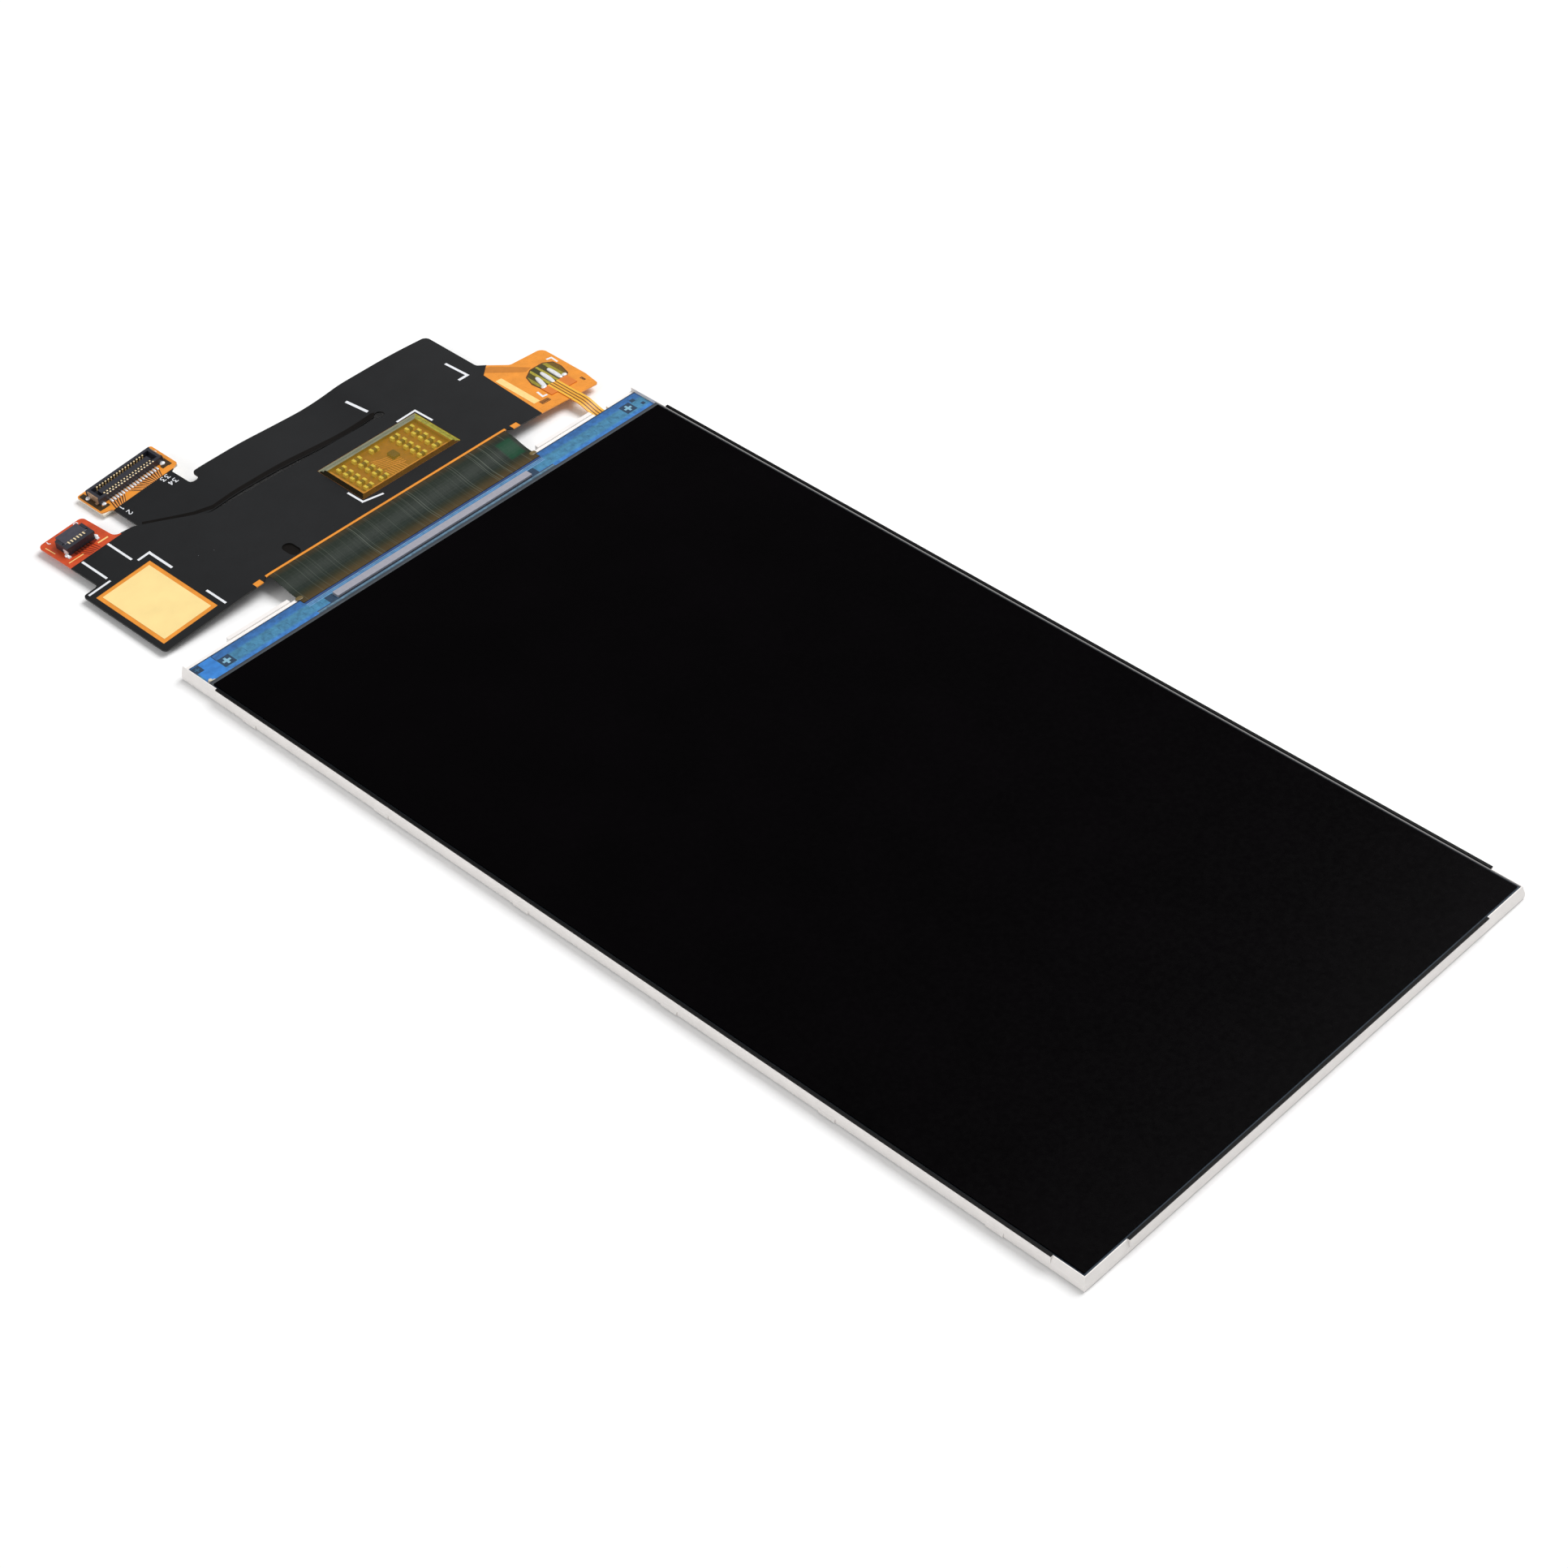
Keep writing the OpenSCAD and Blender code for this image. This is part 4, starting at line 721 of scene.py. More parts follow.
@dataclass
class Cell:
    """Polarisers, glass, driver chip and the marks etched on the ledge."""

    nodes: dict[str, bpy.types.Object]
    mark_t: float = 0.004
    chip_x: float = 13.9
    tick_pitch: float = 1.13
    tick_y: float = 58.72

    def top_z(self) -> float:
        """Height of the varnished ledge in millimetres."""
        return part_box("ledge_varnish")[1].z / MM

    def glass_z(self) -> float:
        """Height of the bare ledge in millimetres."""
        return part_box("array_glass")[1].z / MM

    def dress(self) -> None:
        """Gives each layer of the cell its finish."""
        for name, finish in {
            "rear_polariser": Finishes.polariser, "array_glass": Finishes.ledge, "cell_seal": Finishes.seal,
            "liquid_crystal": Finishes.crystal, "filter_glass": Finishes.filter_glass,
            "front_polariser": Finishes.polariser, "driver_chip": Finishes.silicon,
            "ledge_varnish": Finishes.ledge, "silver_dot": Finishes.silver, "bond_film": Finishes.bond_glue,
        }.items():
            coat_node(self.nodes, name, finish)

    def plate(self, name: str, loops: list[list[Point]], finish: Finish, lift: float = 0.0,
              cuts: list[list[Point]] | None = None) -> None:
        """Lays thin flat shapes on the varnished ledge."""
        z = self.top_z() + self.mark_t + lift
        made = layer(name, Region(loops, cuts or []), lambda x, y: z, self.mark_t + 0.001)
        dress(made, finish)

    def marks(self) -> None:
        """Builds the alignment crosses, squares and ticks on the ledge."""
        self.plate("ledge_bright_end", [rectangle(-31.6, 57.5, -29.05, 60.55)], Finishes.bright_ledge, -0.002)
        crosses = [(-28.25, 58.9), (29.5, 59.05)]
        squares = [rectangle(x - 0.75, y - 0.75, x + 0.75, y + 0.75) for x, y in crosses]
        squares += [rectangle(-15.0, 57.98, -13.98, 59.08), rectangle(13.98, 57.98, 14.95, 59.08),
                    rectangle(-31.85, 59.4, -30.75, 60.5), rectangle(30.5, 59.45, 31.1, 59.95),
                    rectangle(31.1, 58.3, 31.55, 58.75)]
        self.plate("ledge_dark_marks", squares, Finishes.mark)
        arms = []
        for x, y in crosses:
            arms += [rectangle(x - 0.5, y - 0.15, x + 0.5, y + 0.15), rectangle(x - 0.15, y - 0.5, x + 0.15, y + 0.5)]
        self.plate("ledge_cross_marks", arms, Finishes.pale_mark, 0.003)
        small = [rectangle(-31.6, 59.88, -31.0, 60.02), rectangle(-31.37, 59.65, -31.23, 60.25)]
        self.plate("ledge_small_cross", small, Finishes.tick, 0.003)
        lines = [stroke((-29.0, 59.6), (-29.0, 60.5), 0.08), stroke((-31.9, 60.62), (31.9, 60.62), 0.07)]
        self.plate("ledge_dark_lines", lines, Finishes.mark)
        self.plate("bond_window", [rectangle(-16.9, 59.12, 16.9, 59.98)], Finishes.bond_edge)
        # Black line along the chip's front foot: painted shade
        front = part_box("driver_chip")[0].y / MM
        line = rectangle(-self.chip_x, front - 0.1, self.chip_x, front - 0.005)
        self.plate("chip_foot_painted_shade", [line], Finishes.tape, 0.003)
        self.plate("strip_before_chip", [rectangle(-16.9, 57.3, 16.9, 57.98)], Finishes.slate_strip_and_glints)
        places = [(x, self.tick_y + 0.05 * math.sin(7 * x), self.top_z() + 0.002)
                  for side in ((-27.0, -15.6), (16.2, 28.2))
                  for x in np.arange(side[0], side[1], self.tick_pitch)]
        ticks = Repeater("ledge_ticks", Shape.BOX, (0.06, 0.45, 0.004), Finishes.tick, jitter=0.25, seed=5)
        settle(ticks.build(places))

    def blob(self) -> None:
        """Builds the cream drop of sealant in the ledge corner."""
        drop = lump("corner_sealant_drop", (-31.35, 57.4, self.top_z() + 0.02), (0.95, 0.42, 0.16), turn=20,
                    seed=4)
        dress(drop, Finishes.silver)


# The flexible circuit


@dataclass(frozen=True)
class Knee:
    """A place where a height profile changes its slope, and how softly it does."""

    x: float
    z: float
    ease: float


@dataclass
class Drape:
    """Heights of the top of the base film over the floor, smooth across its knees."""

    sheet_z: float = 1.88
    level_half: float = 18.0
    left_droop: float = 5.0
    right_droop: float = 4.0
    arm_slope: float = 6.0
    arm_low_x: float = -23.0
    arm_high_x: float = -10.0

    def knees(self, arm: bool) -> list[Knee]:
        """Knees of the body's profile or of the arm's."""
        z, half = self.sheet_z, self.level_half
        right = [Knee(half, z, 3.0), Knee(33.0, z - (33 - half) * math.tan(math.radians(self.right_droop)), 0)]
        if not arm:
            left_z = z - (32 - half) * math.tan(math.radians(self.left_droop))
            return [Knee(-32.0, left_z, 0), Knee(-half, z, 3.0), *right]
        low = z - 0.05 - (self.arm_high_x - self.arm_low_x) * math.tan(math.radians(self.arm_slope))
        return [Knee(self.arm_low_x, low, 0), Knee(self.arm_high_x, z - 0.05, 1.1), Knee(-4.0, z, 2.0),
                Knee(0.0, z - 0.25, 1.9), Knee(5.0, z - 0.5, 1.6), Knee(8.0, z - 0.3, 1.1),
                Knee(10.25, z, 1.1), *right]

    def profile(self, x: float, arm: bool) -> float:
        """Smooth height at x along one of the two profiles."""
        knees = self.knees(arm)
        slopes = [(b.z - a.z) / (b.x - a.x) for a, b in zip(knees, knees[1:])]
        z = knees[0].z + slopes[0] * (x - knees[0].x)
        for knee, before, after in zip(knees[1:-1], slopes, slopes[1:]):
            t = x - knee.x
            e = max(knee.ease, 1e-6)
            ramp = 0.0 if t <= -e else t if t >= e else (t + e) ** 2 / (4 * e)
            z += (after - before) * ramp
        return z

    def height(self, x: float, y: float) -> float:
        """Height of the top of the base film anywhere on the circuit."""
        if x >= -14.05:
            middle = 78.475 - 0.65 * min(1.0, (x + 14.05) / 24.35)
        else:
            middle = 78.475 + (-14.05 - x) * 0.69
        t = min(1.0, max(0.0, (y - middle) / 0.55 + 0.5))
        share = t * t * (3 - 2 * t) if x > -22.3 else 0.0
        if share in (0.0, 1.0):
            return self.profile(x, share == 1.0)
        return self.profile(x, False) * (1 - share) + self.profile(x, True) * share

    def over(self, lift: float) -> Callable[[float, float], float]:
        """Height function raised by lift."""
        return lambda x, y: self.height(x, y) + lift


@dataclass
class FlexCircuit:
    """Base film, cover films, printed marks and bare pads of the flexible circuit."""

    nodes: dict[str, bpy.types.Object]
    drape: Drape = field(default_factory=Drape)
    base_t: float = 0.12
    cover_t: float = 0.03
    ink_t: float = 0.006
    left_edge: float = 31.3
    right_edge: float = 31.2
    wing_near: float = 65.05
    body_near: float = 65.5
    wing_far: float = 78.35
    slit_near: float = 78.2
    slit_far: float = 78.75
    slit_fall: float = 0.65
    slit_end: float = 9.7
    slit_r: float = 0.6
    arm_far: float = 85.25
    arm_right: float = 23.45
    tab_far: float = 74.5
    key_x: float = 26.45
    key_half: float = 3.0
    key_far: float = 88.25
    key_bare: float = 82.75
    board_x: float = 15.9
    board_half: float = 5.2
    board_neck: float = 87.55
    board_far: float = 92.25
    pad: tuple[float, float, float, float] = (-30.1, 66.6, -23.8, 76.6)
    pad_border: float = 0.5
    window: tuple[float, float, float, float] = (-1.6, 67.8, 12.5, 75.1)
    pitch: float = 0.55

    def outline(self) -> list[Point]:
        """Plan outline of the whole circuit, in and out of the slit."""
        near, neck = self.slit_near, self.board_neck
        notch_x = -self.board_x + 4.55
        left, right = -self.key_x - self.key_half, -self.key_x + self.key_half
        tab_left, tab_right = -self.board_x - self.board_half, -self.board_x + self.board_half
        first = fillet([
            (-self.left_edge, self.wing_far, 0.4), (-self.left_edge, self.wing_near, 0.5),
            (-17.9, self.wing_near, 0.3), (-17.3, self.body_near, 0.2), (17.3, self.body_near, 0.2),
            (17.9, self.wing_near, 0.3), (self.right_edge - 0.4, self.wing_near, 0.4),
            (self.right_edge, self.wing_near + 2.4, 1.0), (self.right_edge, self.tab_far, 0.8),
            (26.3, self.tab_far, 0.8), (self.arm_right + 1.1, self.tab_far + 1.6, 0.6),
            (self.arm_right, self.tab_far + 2.5, 0.6), (self.arm_right, self.arm_far, 0.7),
            (notch_x + 0.6, self.arm_far, 0.5), (notch_x + 0.6, self.arm_far - 1.35, 0.5),
            (notch_x - 0.6, self.arm_far - 1.35, 0.5), (notch_x - 0.65, neck - 0.4, 0.2),
            (tab_right, neck + 0.2, 0.3), (tab_right, self.board_far, 0.3), (tab_left, self.board_far, 0.3),
            (tab_left, neck + 0.5, 0.3), (-self.board_x - 4, neck, 0.2),
            (-self.board_x - 4, self.slit_far + 4.4, 0.6), (-13.9, self.slit_far, 1.5),
            (self.slit_end - 0.53, self.slit_far - self.slit_fall + 0.014, 0),
            (self.slit_end - 0.53, near - self.slit_fall + 0.014, 0), (-14.2, near, 1.5),
            (-21.0, near + 4.5, 0.5), (right + 0.3, near + 4.9, 0.8), (right, self.key_far, 0.6),
            (left, self.key_far, 0.6), (left + 0.2, self.wing_far, 0.5)])
        x0 = self.slit_end - 0.53
        at = next(i for i, p in enumerate(first) if abs(p[0] - x0) < 1e-6)
        mid = (self.slit_end, near - self.slit_fall + (self.slit_far - near) / 2)
        start = math.radians(152.7)
        arc = [(mid[0] + self.slit_r * math.cos(start * (1 - k / 12)),
                mid[1] + self.slit_r * math.sin(start * (1 - k / 12))) for k in range(25)]
        return first[:at] + arc + first[at + 2 :]

    def slot_hole(self) -> list[Point]:
        """Outline of the slot hole in the body."""
        cx, cy, w, l = -12.4, 67.05, 0.7, 1.15
        return ([(cx + w * math.cos(a), cy + l - w + w * math.sin(a)) for a in np.linspace(0, math.pi, 13)]
                + [(cx + w * math.cos(a), cy - l + w + w * math.sin(a))
                   for a in np.linspace(math.pi, 2 * math.pi, 13)])

    def tab_bare(self) -> list[Point]:
        """Area of the right tab that the cover film leaves bare."""
        far = self.wing_near + 9.9
        return [(22.1, self.wing_near - 1), (22.7, far), (24.3, far + 1.3), (45.0, far + 1.3),
                (45.0, self.wing_near - 1)]

    def ends_bare(self) -> list[list[Point]]:
        """Areas of the two connector tabs that the cover films leave bare."""
        return [rectangle(-self.key_x - 5, self.key_bare, -self.key_x + 4, self.key_bare + 15),
                rectangle(-self.board_x - 10, self.board_neck - 0.2, -self.board_x + 10, self.board_neck + 9)]

    def grown(self, box: tuple[float, float, float, float], by: float) -> list[Point]:
        """Rectangle grown on all sides."""
        return rectangle(box[0] - by, box[1] - by, box[2] + by, box[3] + by)

    def build_films(self) -> None:
        """Builds the base film and both cover films as one draped sandwich."""
        outline, slot = self.outline(), self.slot_hole()
        lines = (77.3, 78.0, 78.7)
        key_end, board_end = self.ends_bare()
        near_strip = rectangle(-17.2, self.body_near - 1, 17.2, self.body_near + 0.3)
        areas = [(board_end, Finishes.amber), (key_end, Finishes.red), (self.tab_bare(), Finishes.amber),
                 (self.grown(self.pad, self.pad_border), Finishes.amber), (near_strip, Finishes.amber),
                 (self.grown(self.window, 0.05), Finishes.field)]
        areas += [(rectangle(s * 18.4 - 0.5, self.wing_near - 0.2, s * 18.4 + 0.5, self.wing_near + 0.7),
                   Finishes.amber) for s in (-1, 1)]
        base = layer("base_film", Region([outline], [slot], [loop for loop, _ in areas]), self.drape.over(0),
                     self.base_t, self.pitch, lines)
        base.data.materials.append(Finishes.film_edge.material())
        for _, finish in areas:
            base.data.materials.append(finish.material())
        centres = np.array([tuple(face.center) for face in base.data.polygons])[:, :2] / MM
        index = np.zeros(len(centres), int)
        for k, (loop, _) in enumerate(areas):
            index[inside(loop, centres)] = k + 1
        base.data.polygons.foreach_set("material_index", index.tolist())
        settle(base, stands_for=["flex_base"])
        box = self.window
        bare_near = [rectangle(-17.2, self.body_near - 1, 17.2, self.body_near + 0.3)]
        pads = [rectangle(s * 18.4 - 0.5, self.wing_near - 0.2, s * 18.4 + 0.5, self.wing_near + 0.7)
                for s in (-1, 1)]
        top = layer("top_cover", Region([outline], [slot, self.tab_bare(), *self.ends_bare(),
                                                    self.grown(self.pad, self.pad_border),
                                                    self.grown(box, 0.05), *bare_near, *pads]),
                    self.drape.over(self.cover_t), self.cover_t, self.pitch, lines)
        dress(top, Finishes.cover, stands_for=["top_cover_film"])
        rear = layer("rear_cover", Region([outline], [slot, self.tab_bare(), *self.ends_bare(),
                                                      self.grown(box, 0.3)]),
                     self.drape.over(-self.base_t), self.cover_t, self.pitch, lines)
        dress(rear, Finishes.cover, stands_for=["rear_cover_film"])
        coat_node(self.nodes, "shielding_pad", Finishes.gold)
        coat_node(self.nodes, "ground_strip", Finishes.gold_line)

    def overlay(self, name: str, loops: list[list[Point]], finish: Finish, lift: float = 0.0) -> None:
        """Lays thin flat shapes on the base film, draped with it.

        Args:
            name: Name of the piece.
            loops: Outlines of the shapes.
            finish: Their finish.
            lift: Extra height over the film.
        """
        made = layer(name, Region(loops), self.drape.over(lift + self.ink_t), self.ink_t + 0.002, 1.0)
        dress(made, finish)

    def tab_details(self) -> None:
        """Builds the window, pads, traces and printed hooks of the right tab."""
        window = np.array([(25.6, 68.4), (25.4, 69.9), (25.9, 71.3), (27.2, 72.1), (29.1, 72.2), (30.1, 71.6),
                           (30.2, 70.4), (29.8, 69.0), (28.9, 68.3), (27.6, 67.95)])
        middle = window.mean(0)
        rim = [tuple(middle + (p - middle) * 1.07) for p in window]
        self.overlay("joint_window_rim", [rim], Finishes.copper_shadow)
        self.overlay("joint_window", [[tuple(p) for p in window]], Finishes.joint_window, 0.003)
        band = [(23.0, 76.2), (23.1, 75.3), (25.4, 73.2), (26.6, 72.2), (27.6, 72.5), (26.9, 73.3), (24.4, 75.8)]
        self.overlay("broad_trace", [band], Finishes.dim_trace)
        pads = [rectangle(23.45, 66.25, 24.75, 66.85), rectangle(30.05, 66.55, 30.4, 67.25)]
        self.overlay("test_pads", pads, Finishes.copper_shadow)
        dots = [rectangle(x - 0.07, y - 0.07, x + 0.07, y + 0.07)
                for x0, y0, nx in ((23.65, 66.4, 5), (30.15, 66.75, 1)) for i in range(nx) for j in range(2)
                for x, y in [(x0 + 0.24 * i, y0 + 0.28 * j)]]
        self.overlay("test_pad_dots", dots, Finishes.dim_trace, 0.004)
        w = 0.26
        hooks = [stroke((24.69, 68.44), (24.5, 67.3), w), stroke((24.4, 67.38), (25.15, 67.33), w),
                 stroke((29.99, 72.49), (30.72, 72.4), w), stroke((30.68, 72.5), (30.59, 71.33), w)]
        self.overlay("tab_hooks", hooks, Finishes.ink)

    def key_details(self) -> None:
        """Builds the gold lines, printed hooks and dark fan of traces on the red tab, with a patch of painted shade
        at the connector's front.
        """
        lines = [stroke((-29.05, 87.43), (-28.96, 85.9), 0.1), stroke((-28.95, 83.59), (-27.05, 83.5), 0.13),
                 stroke((-24.97, 83.65), (-23.67, 83.58), 0.2)]
        self.overlay("key_gold_lines", lines, Finishes.gold_line)
        w = 0.11
        hooks = [stroke((-24.8, 88.02), (-24.55, 88.16), w), stroke((-24.6, 88.15), (-24.32, 88.05), w),
                 stroke((-24.36, 88.1), (-24.34, 87.75), w), stroke((-28.38, 88.1), (-28.42, 87.69), w),
                 stroke((-28.44, 87.72), (-28.22, 87.55), w)]
        self.overlay("key_hooks", hooks, Finishes.ink)
        fan = [stroke((-27.45 + 0.4 * i, 84.25), (-26.6 + 0.27 * i, 82.9), 0.12) for i in range(6)]
        # Dark patch at the connector's front foot: painted shade
        fan.append([(-28.3, 84.1), (-27.9, 84.5), (-25.0, 84.5), (-24.6, 84.1), (-25.4, 83.9), (-27.6, 83.9)])
        self.overlay("key_trace_fan_and_shade", fan, Finishes.red_traces_and_shade)

    def board_details(self) -> None:
        """Builds the fan of traces, the dark pockets and the pin numbers at the board tab."""
        starts = [-19.1 + 0.4 * i for i in range(17)]
        ends = [-19.42 + 0.26 * i for i in range(5)] + [-14.62 - 0.24 * (10 - i) for i in range(5, 10)]
        ends += [-13.3 - 0.22 * (16 - i) for i in range(10, 17)]
        gaps = [[(-19.3, 88.75), (-17.3, 88.75), (-18.2, 87.36), (-19.65, 87.36)],
                [(-17.25, 88.75), (-12.5, 88.75), (-13.1, 87.36), (-16.1, 87.36)]]
        self.overlay("board_trace_gaps", gaps, Finishes.copper_shadow)
        traces = [stroke((a, 88.75), (b, 87.37), 0.13) for a, b in zip(starts, ends)]
        self.overlay("board_traces", traces, Finishes.bright_trace, 0.004)
        pockets = [rectangle(-20.95, 88.35, -20.3, 92.05), rectangle(-20.5, 88.3, -19.6, 88.75),
                   rectangle(-11.55, 88.1, -11.12, 92.0), rectangle(-12.3, 88.2, -11.5, 88.75)]
        self.overlay("board_pockets", pockets, Finishes.pocket)
        digits = {"1": [(0.5, 0), (0.5, 1), (0.2, 0.75)], "2": [(0, 0.8), (0.2, 1), (0.8, 1), (1, 0.75), (0, 0), (1, 0)],
                  "3": [(0, 1), (1, 1), (0.4, 0.6), (1, 0.4), (0.9, 0.1), (0.5, 0), (0, 0.1)],
                  "4": [(0.75, 0), (0.75, 1), (0, 0.3), (1, 0.3)]}
        loops = []
        for sign, cx, cy in (("1", -19.2, 86.9), ("2", -19.1, 85.7), ("3", -12.85, 86.85), ("3", -13.45, 86.85),
                             ("3", -12.7, 85.7), ("4", -13.3, 85.7)):
            path = [(cx - (u - 0.5) * 0.42, cy - (v - 0.5) * 0.68) for u, v in digits[sign]]
            loops += [stroke(a, b, 0.1) for a, b in zip(path, path[1:])]
        self.overlay("pin_numbers", loops, Finishes.ink, self.cover_t)

    def painted_slit_shade(self) -> None:
        """Builds a near-black band of painted shade along the arm's side of the slit, and a near-black sheet of
        painted shade at the back of the slot hole.
        """
        far, fall = self.slit_far, self.slit_fall
        tip = self.slit_end - 0.53
        shade_band = [(-19.6, 83.02), (-17.0, 81.1), (-15.0, 79.75), (-13.2, far + 0.1), (tip, far - fall + 0.03),
               (tip + 0.5, far - 0.2), (tip + 0.1, far + 0.05), (tip - 1.5, far + 0.1), (-2.0, far + 0.5),
               (-12.8, far + 0.6), (-14.8, 80.2), (-16.9, 81.65), (-19.3, 83.4)]
        # Flat near-black band on the arm beside the slit: painted shade
        self.overlay("painted_slit_shade", [shade_band], Finishes.painted_shade_film, self.cover_t)
        # Near-black sheet under the slot hole: painted shade for the dark gap seen through it
        back = layer("slot_hole_shade_sheet", Region([self.slot_hole()]), self.drape.over(-self.base_t), self.cover_t)
        dress(back, Finishes.painted_shade_film)

    def print_marks(self) -> None:
        """Builds the white printed lines and brackets on the black cover film."""
        w = 0.27
        lines = [((-27.97, 78.5), (-27.97, 82.6), w), ((-24.43, 78.7), (-24.43, 82.7), w),
                 ((-30.86, 77.94), (-27.96, 77.94), w), ((-24.1, 78.1), (-22.37, 78.1), 0.3),
                 ((-22.55, 74.36), (-22.55, 78.25), 0.3), ((-22.55, 65.7), (-22.55, 68.8), w),
                 ((8.97, 82.5), (9.3, 79.25), 0.34), ((21.25, 79.65), (21.45, 76.1), 0.34),
                 ((20.05, 76.15), (21.6, 76.25), 0.34), ((-2.0, 69.86), (-1.95, 67.47), w),
                 ((-2.1, 67.52), (0.53, 66.94), w), ((10.06, 75.34), (12.88, 75.43), w),
                 ((12.82, 75.55), (12.9, 72.68), w)]
        region = Region([stroke(a, b, width) for a, b, width in lines])
        made = layer("printed_marks", region, self.drape.over(self.cover_t + self.ink_t), self.ink_t + 0.001,
                     1.0)
        dress(made, Finishes.ink)


@dataclass
class BondStretch:
    """Single-layer stretch of the circuit that is bonded to the ledge."""

    nodes: dict[str, bpy.types.Object]

    def dress(self) -> None:
        """Gives the bonded stretch its traced olive finish."""
        coat_node(self.nodes, "bond_flex", Finishes.bond_circuit)

    def glue(self) -> None:
        """Builds the yellow-green drops of sealant at both ends of the bond."""
        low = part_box("bond_flex")[0].z / MM
        for k, x in enumerate((-16.75, 16.75)):
            drop = lump(f"bond_sealant_{k}", (x, 60.9, low + 0.06), (0.9, 0.6, 0.14), seed=8 + k)
            dress(drop, Finishes.bond_glue)


@dataclass
class CapacitorField:
    """Chip capacitors and a small chip under a tent of amber tape."""

    nodes: dict[str, bpy.types.Object]
    centre: tuple[float, float, float] = (5.45, 71.45, 1.88)
    size: tuple[float, float] = (14.1, 7.3)
    columns: tuple[float, ...] = (-5.3, -3.1, 2.45, 4.6)
    row_y: float = -0.42
    pitch: float = 1.09
    cap: tuple[float, float, float] = (1.05, 0.5, 0.4)
    tape_t: float = 0.06
    slope: float = 0.3
    far_slope: float = 1.15
    right_slope: float = 1.0

    def places(self) -> list[Point]:
        """Centre of each capacitor in plan, from the middle of the tape."""
        found = [(x, self.row_y + row * self.pitch) for x in self.columns for row in range(-2, 3)]
        return [*found, (-0.6, self.row_y + 2 * self.pitch)]

    def build_parts(self) -> None:
        """Builds the capacitors' bodies and tinned ends."""
        at = Matrix.Translation(Vector(self.centre))
        l, w, h = self.cap
        bodies = Repeater("capacitor_bodies", Shape.BOX, (l - 0.4, w - 0.04, h - 0.04), Finishes.ceramic)
        made = bodies.build([(x, y, h / 2) for x, y in self.places()], at)
        settle(made, stands_for=["chip_capacitors"])
        ends = Repeater("capacitor_ends", Shape.BOX, (0.32, w + 0.04, h), Finishes.cap_tin)
        made = ends.build([(x + s * (l / 2 - 0.125), y, h / 2) for x, y in self.places() for s in (-1, 1)], at)
        settle(made)
        coat_node(self.nodes, "filter_chip", Finishes.chip)
        coat_node(self.nodes, "field_stiffener", Finishes.laminate)

    def tape_height(self, x: float, y: float) -> float:
        """Height of the tape over the base film, from the middle of the tape."""
        full = self.cap[2] + self.tape_t
        half_x, half_y = self.size[0] / 2, self.size[1] / 2
        edge = min((half_x + x) / self.slope, (half_x - x) / self.right_slope, (half_y + y) / self.slope,
                   (half_y - y) / self.far_slope, 1.0)
        edge = max(edge, 0.0)
        rise = edge * edge * (3 - 2 * edge)
        sag = 0.02 * math.sin(1.9 * x + 0.6) * math.sin(2.3 * y)
        return full * rise - abs(sag) * rise

    def build_tape(self) -> None:
        """Builds the amber tape as one thin draped tent."""
        cx, cy, cz = self.centre
        nx, ny = 96, 56
        bm = bmesh.new()
        grid = []
        for i in range(nx + 1):
            x = self.size[0] * (i / nx - 0.5)
            column = []
            for j in range(ny + 1):
                y = self.size[1] * (j / ny - 0.5)
                column.append(bm.verts.new((cx + x, cy + y, cz + max(self.tape_height(x, y), 0.02))))
            grid.append(column)
        for i in range(nx):
            for j in range(ny):
                bm.faces.new([grid[i][j], grid[i + 1][j], grid[i + 1][j + 1], grid[i][j + 1]])
        grown = bmesh.ops.extrude_face_region(bm, geom=list(bm.faces))
        lower = [g for g in grown["geom"] if isinstance(g, bmesh.types.BMVert)]
        bmesh.ops.translate(bm, vec=(0, 0, -0.018), verts=lower)
        tape = finish_mesh("amber_tape", bm)
        # Each sloped fold takes its own lighter or darker copy of the tape: painted light and shade
        lit_and_shaded_folds = [Finishes.window, Finishes.tape_far_fold_painted_light, Finishes.tape_right_fold_painted_light, Finishes.tape_near_fold_painted_shade,
                 Finishes.tape_left_fold_painted_shade]
        for finish in lit_and_shaded_folds:
            tape.data.materials.append(finish.material())
        for face in tape.data.polygons:
            x, y = face.center[0] / MM - cx, face.center[1] / MM - cy
            shares = ((self.size[1] / 2 - y) / self.far_slope, (self.size[0] / 2 - x) / self.right_slope,
                      (self.size[1] / 2 + y) / self.slope, (self.size[0] / 2 + x) / self.slope)
            nearest = int(np.argmin(shares))
            face.material_index = nearest + 1 if shares[nearest] < 1.0 else 0
        settle(tape, stands_for=["window_tape"])

    def build_field(self) -> None:
        """Builds the copper traces that show through the tape."""
        cx, cy, cz = self.centre
        hx, hy = self.size[0] / 2 - 0.75, self.size[1] / 2 - 0.7
        corners = rectangle(cx - hx, cy - hy, cx + hx, cy + hy)
        loops = [stroke(a, b, 0.24) for a, b in zip(corners, [*corners[1:], corners[0]])]
        for k in range(6):
            y = cy + 0.6 - 0.34 * k
            loops += [stroke((cx - 2.2, y), (cx - 1.2 + 0.1 * k, y - 0.5), 0.14),
                      stroke((cx - 1.2 + 0.1 * k, y - 0.5), (cx + 0.6, y - 0.9), 0.14)]
        for k in range(7):
            x = cx - 1.9 + 0.35 * k
            loops.append(stroke((x, cy - hy), (x - 0.2, cy - 1.6), 0.14))
        made = layer("field_traces", Region(loops), lambda x, y: cz + 0.03, 0.008)
        dress(made, Finishes.bright_trace)


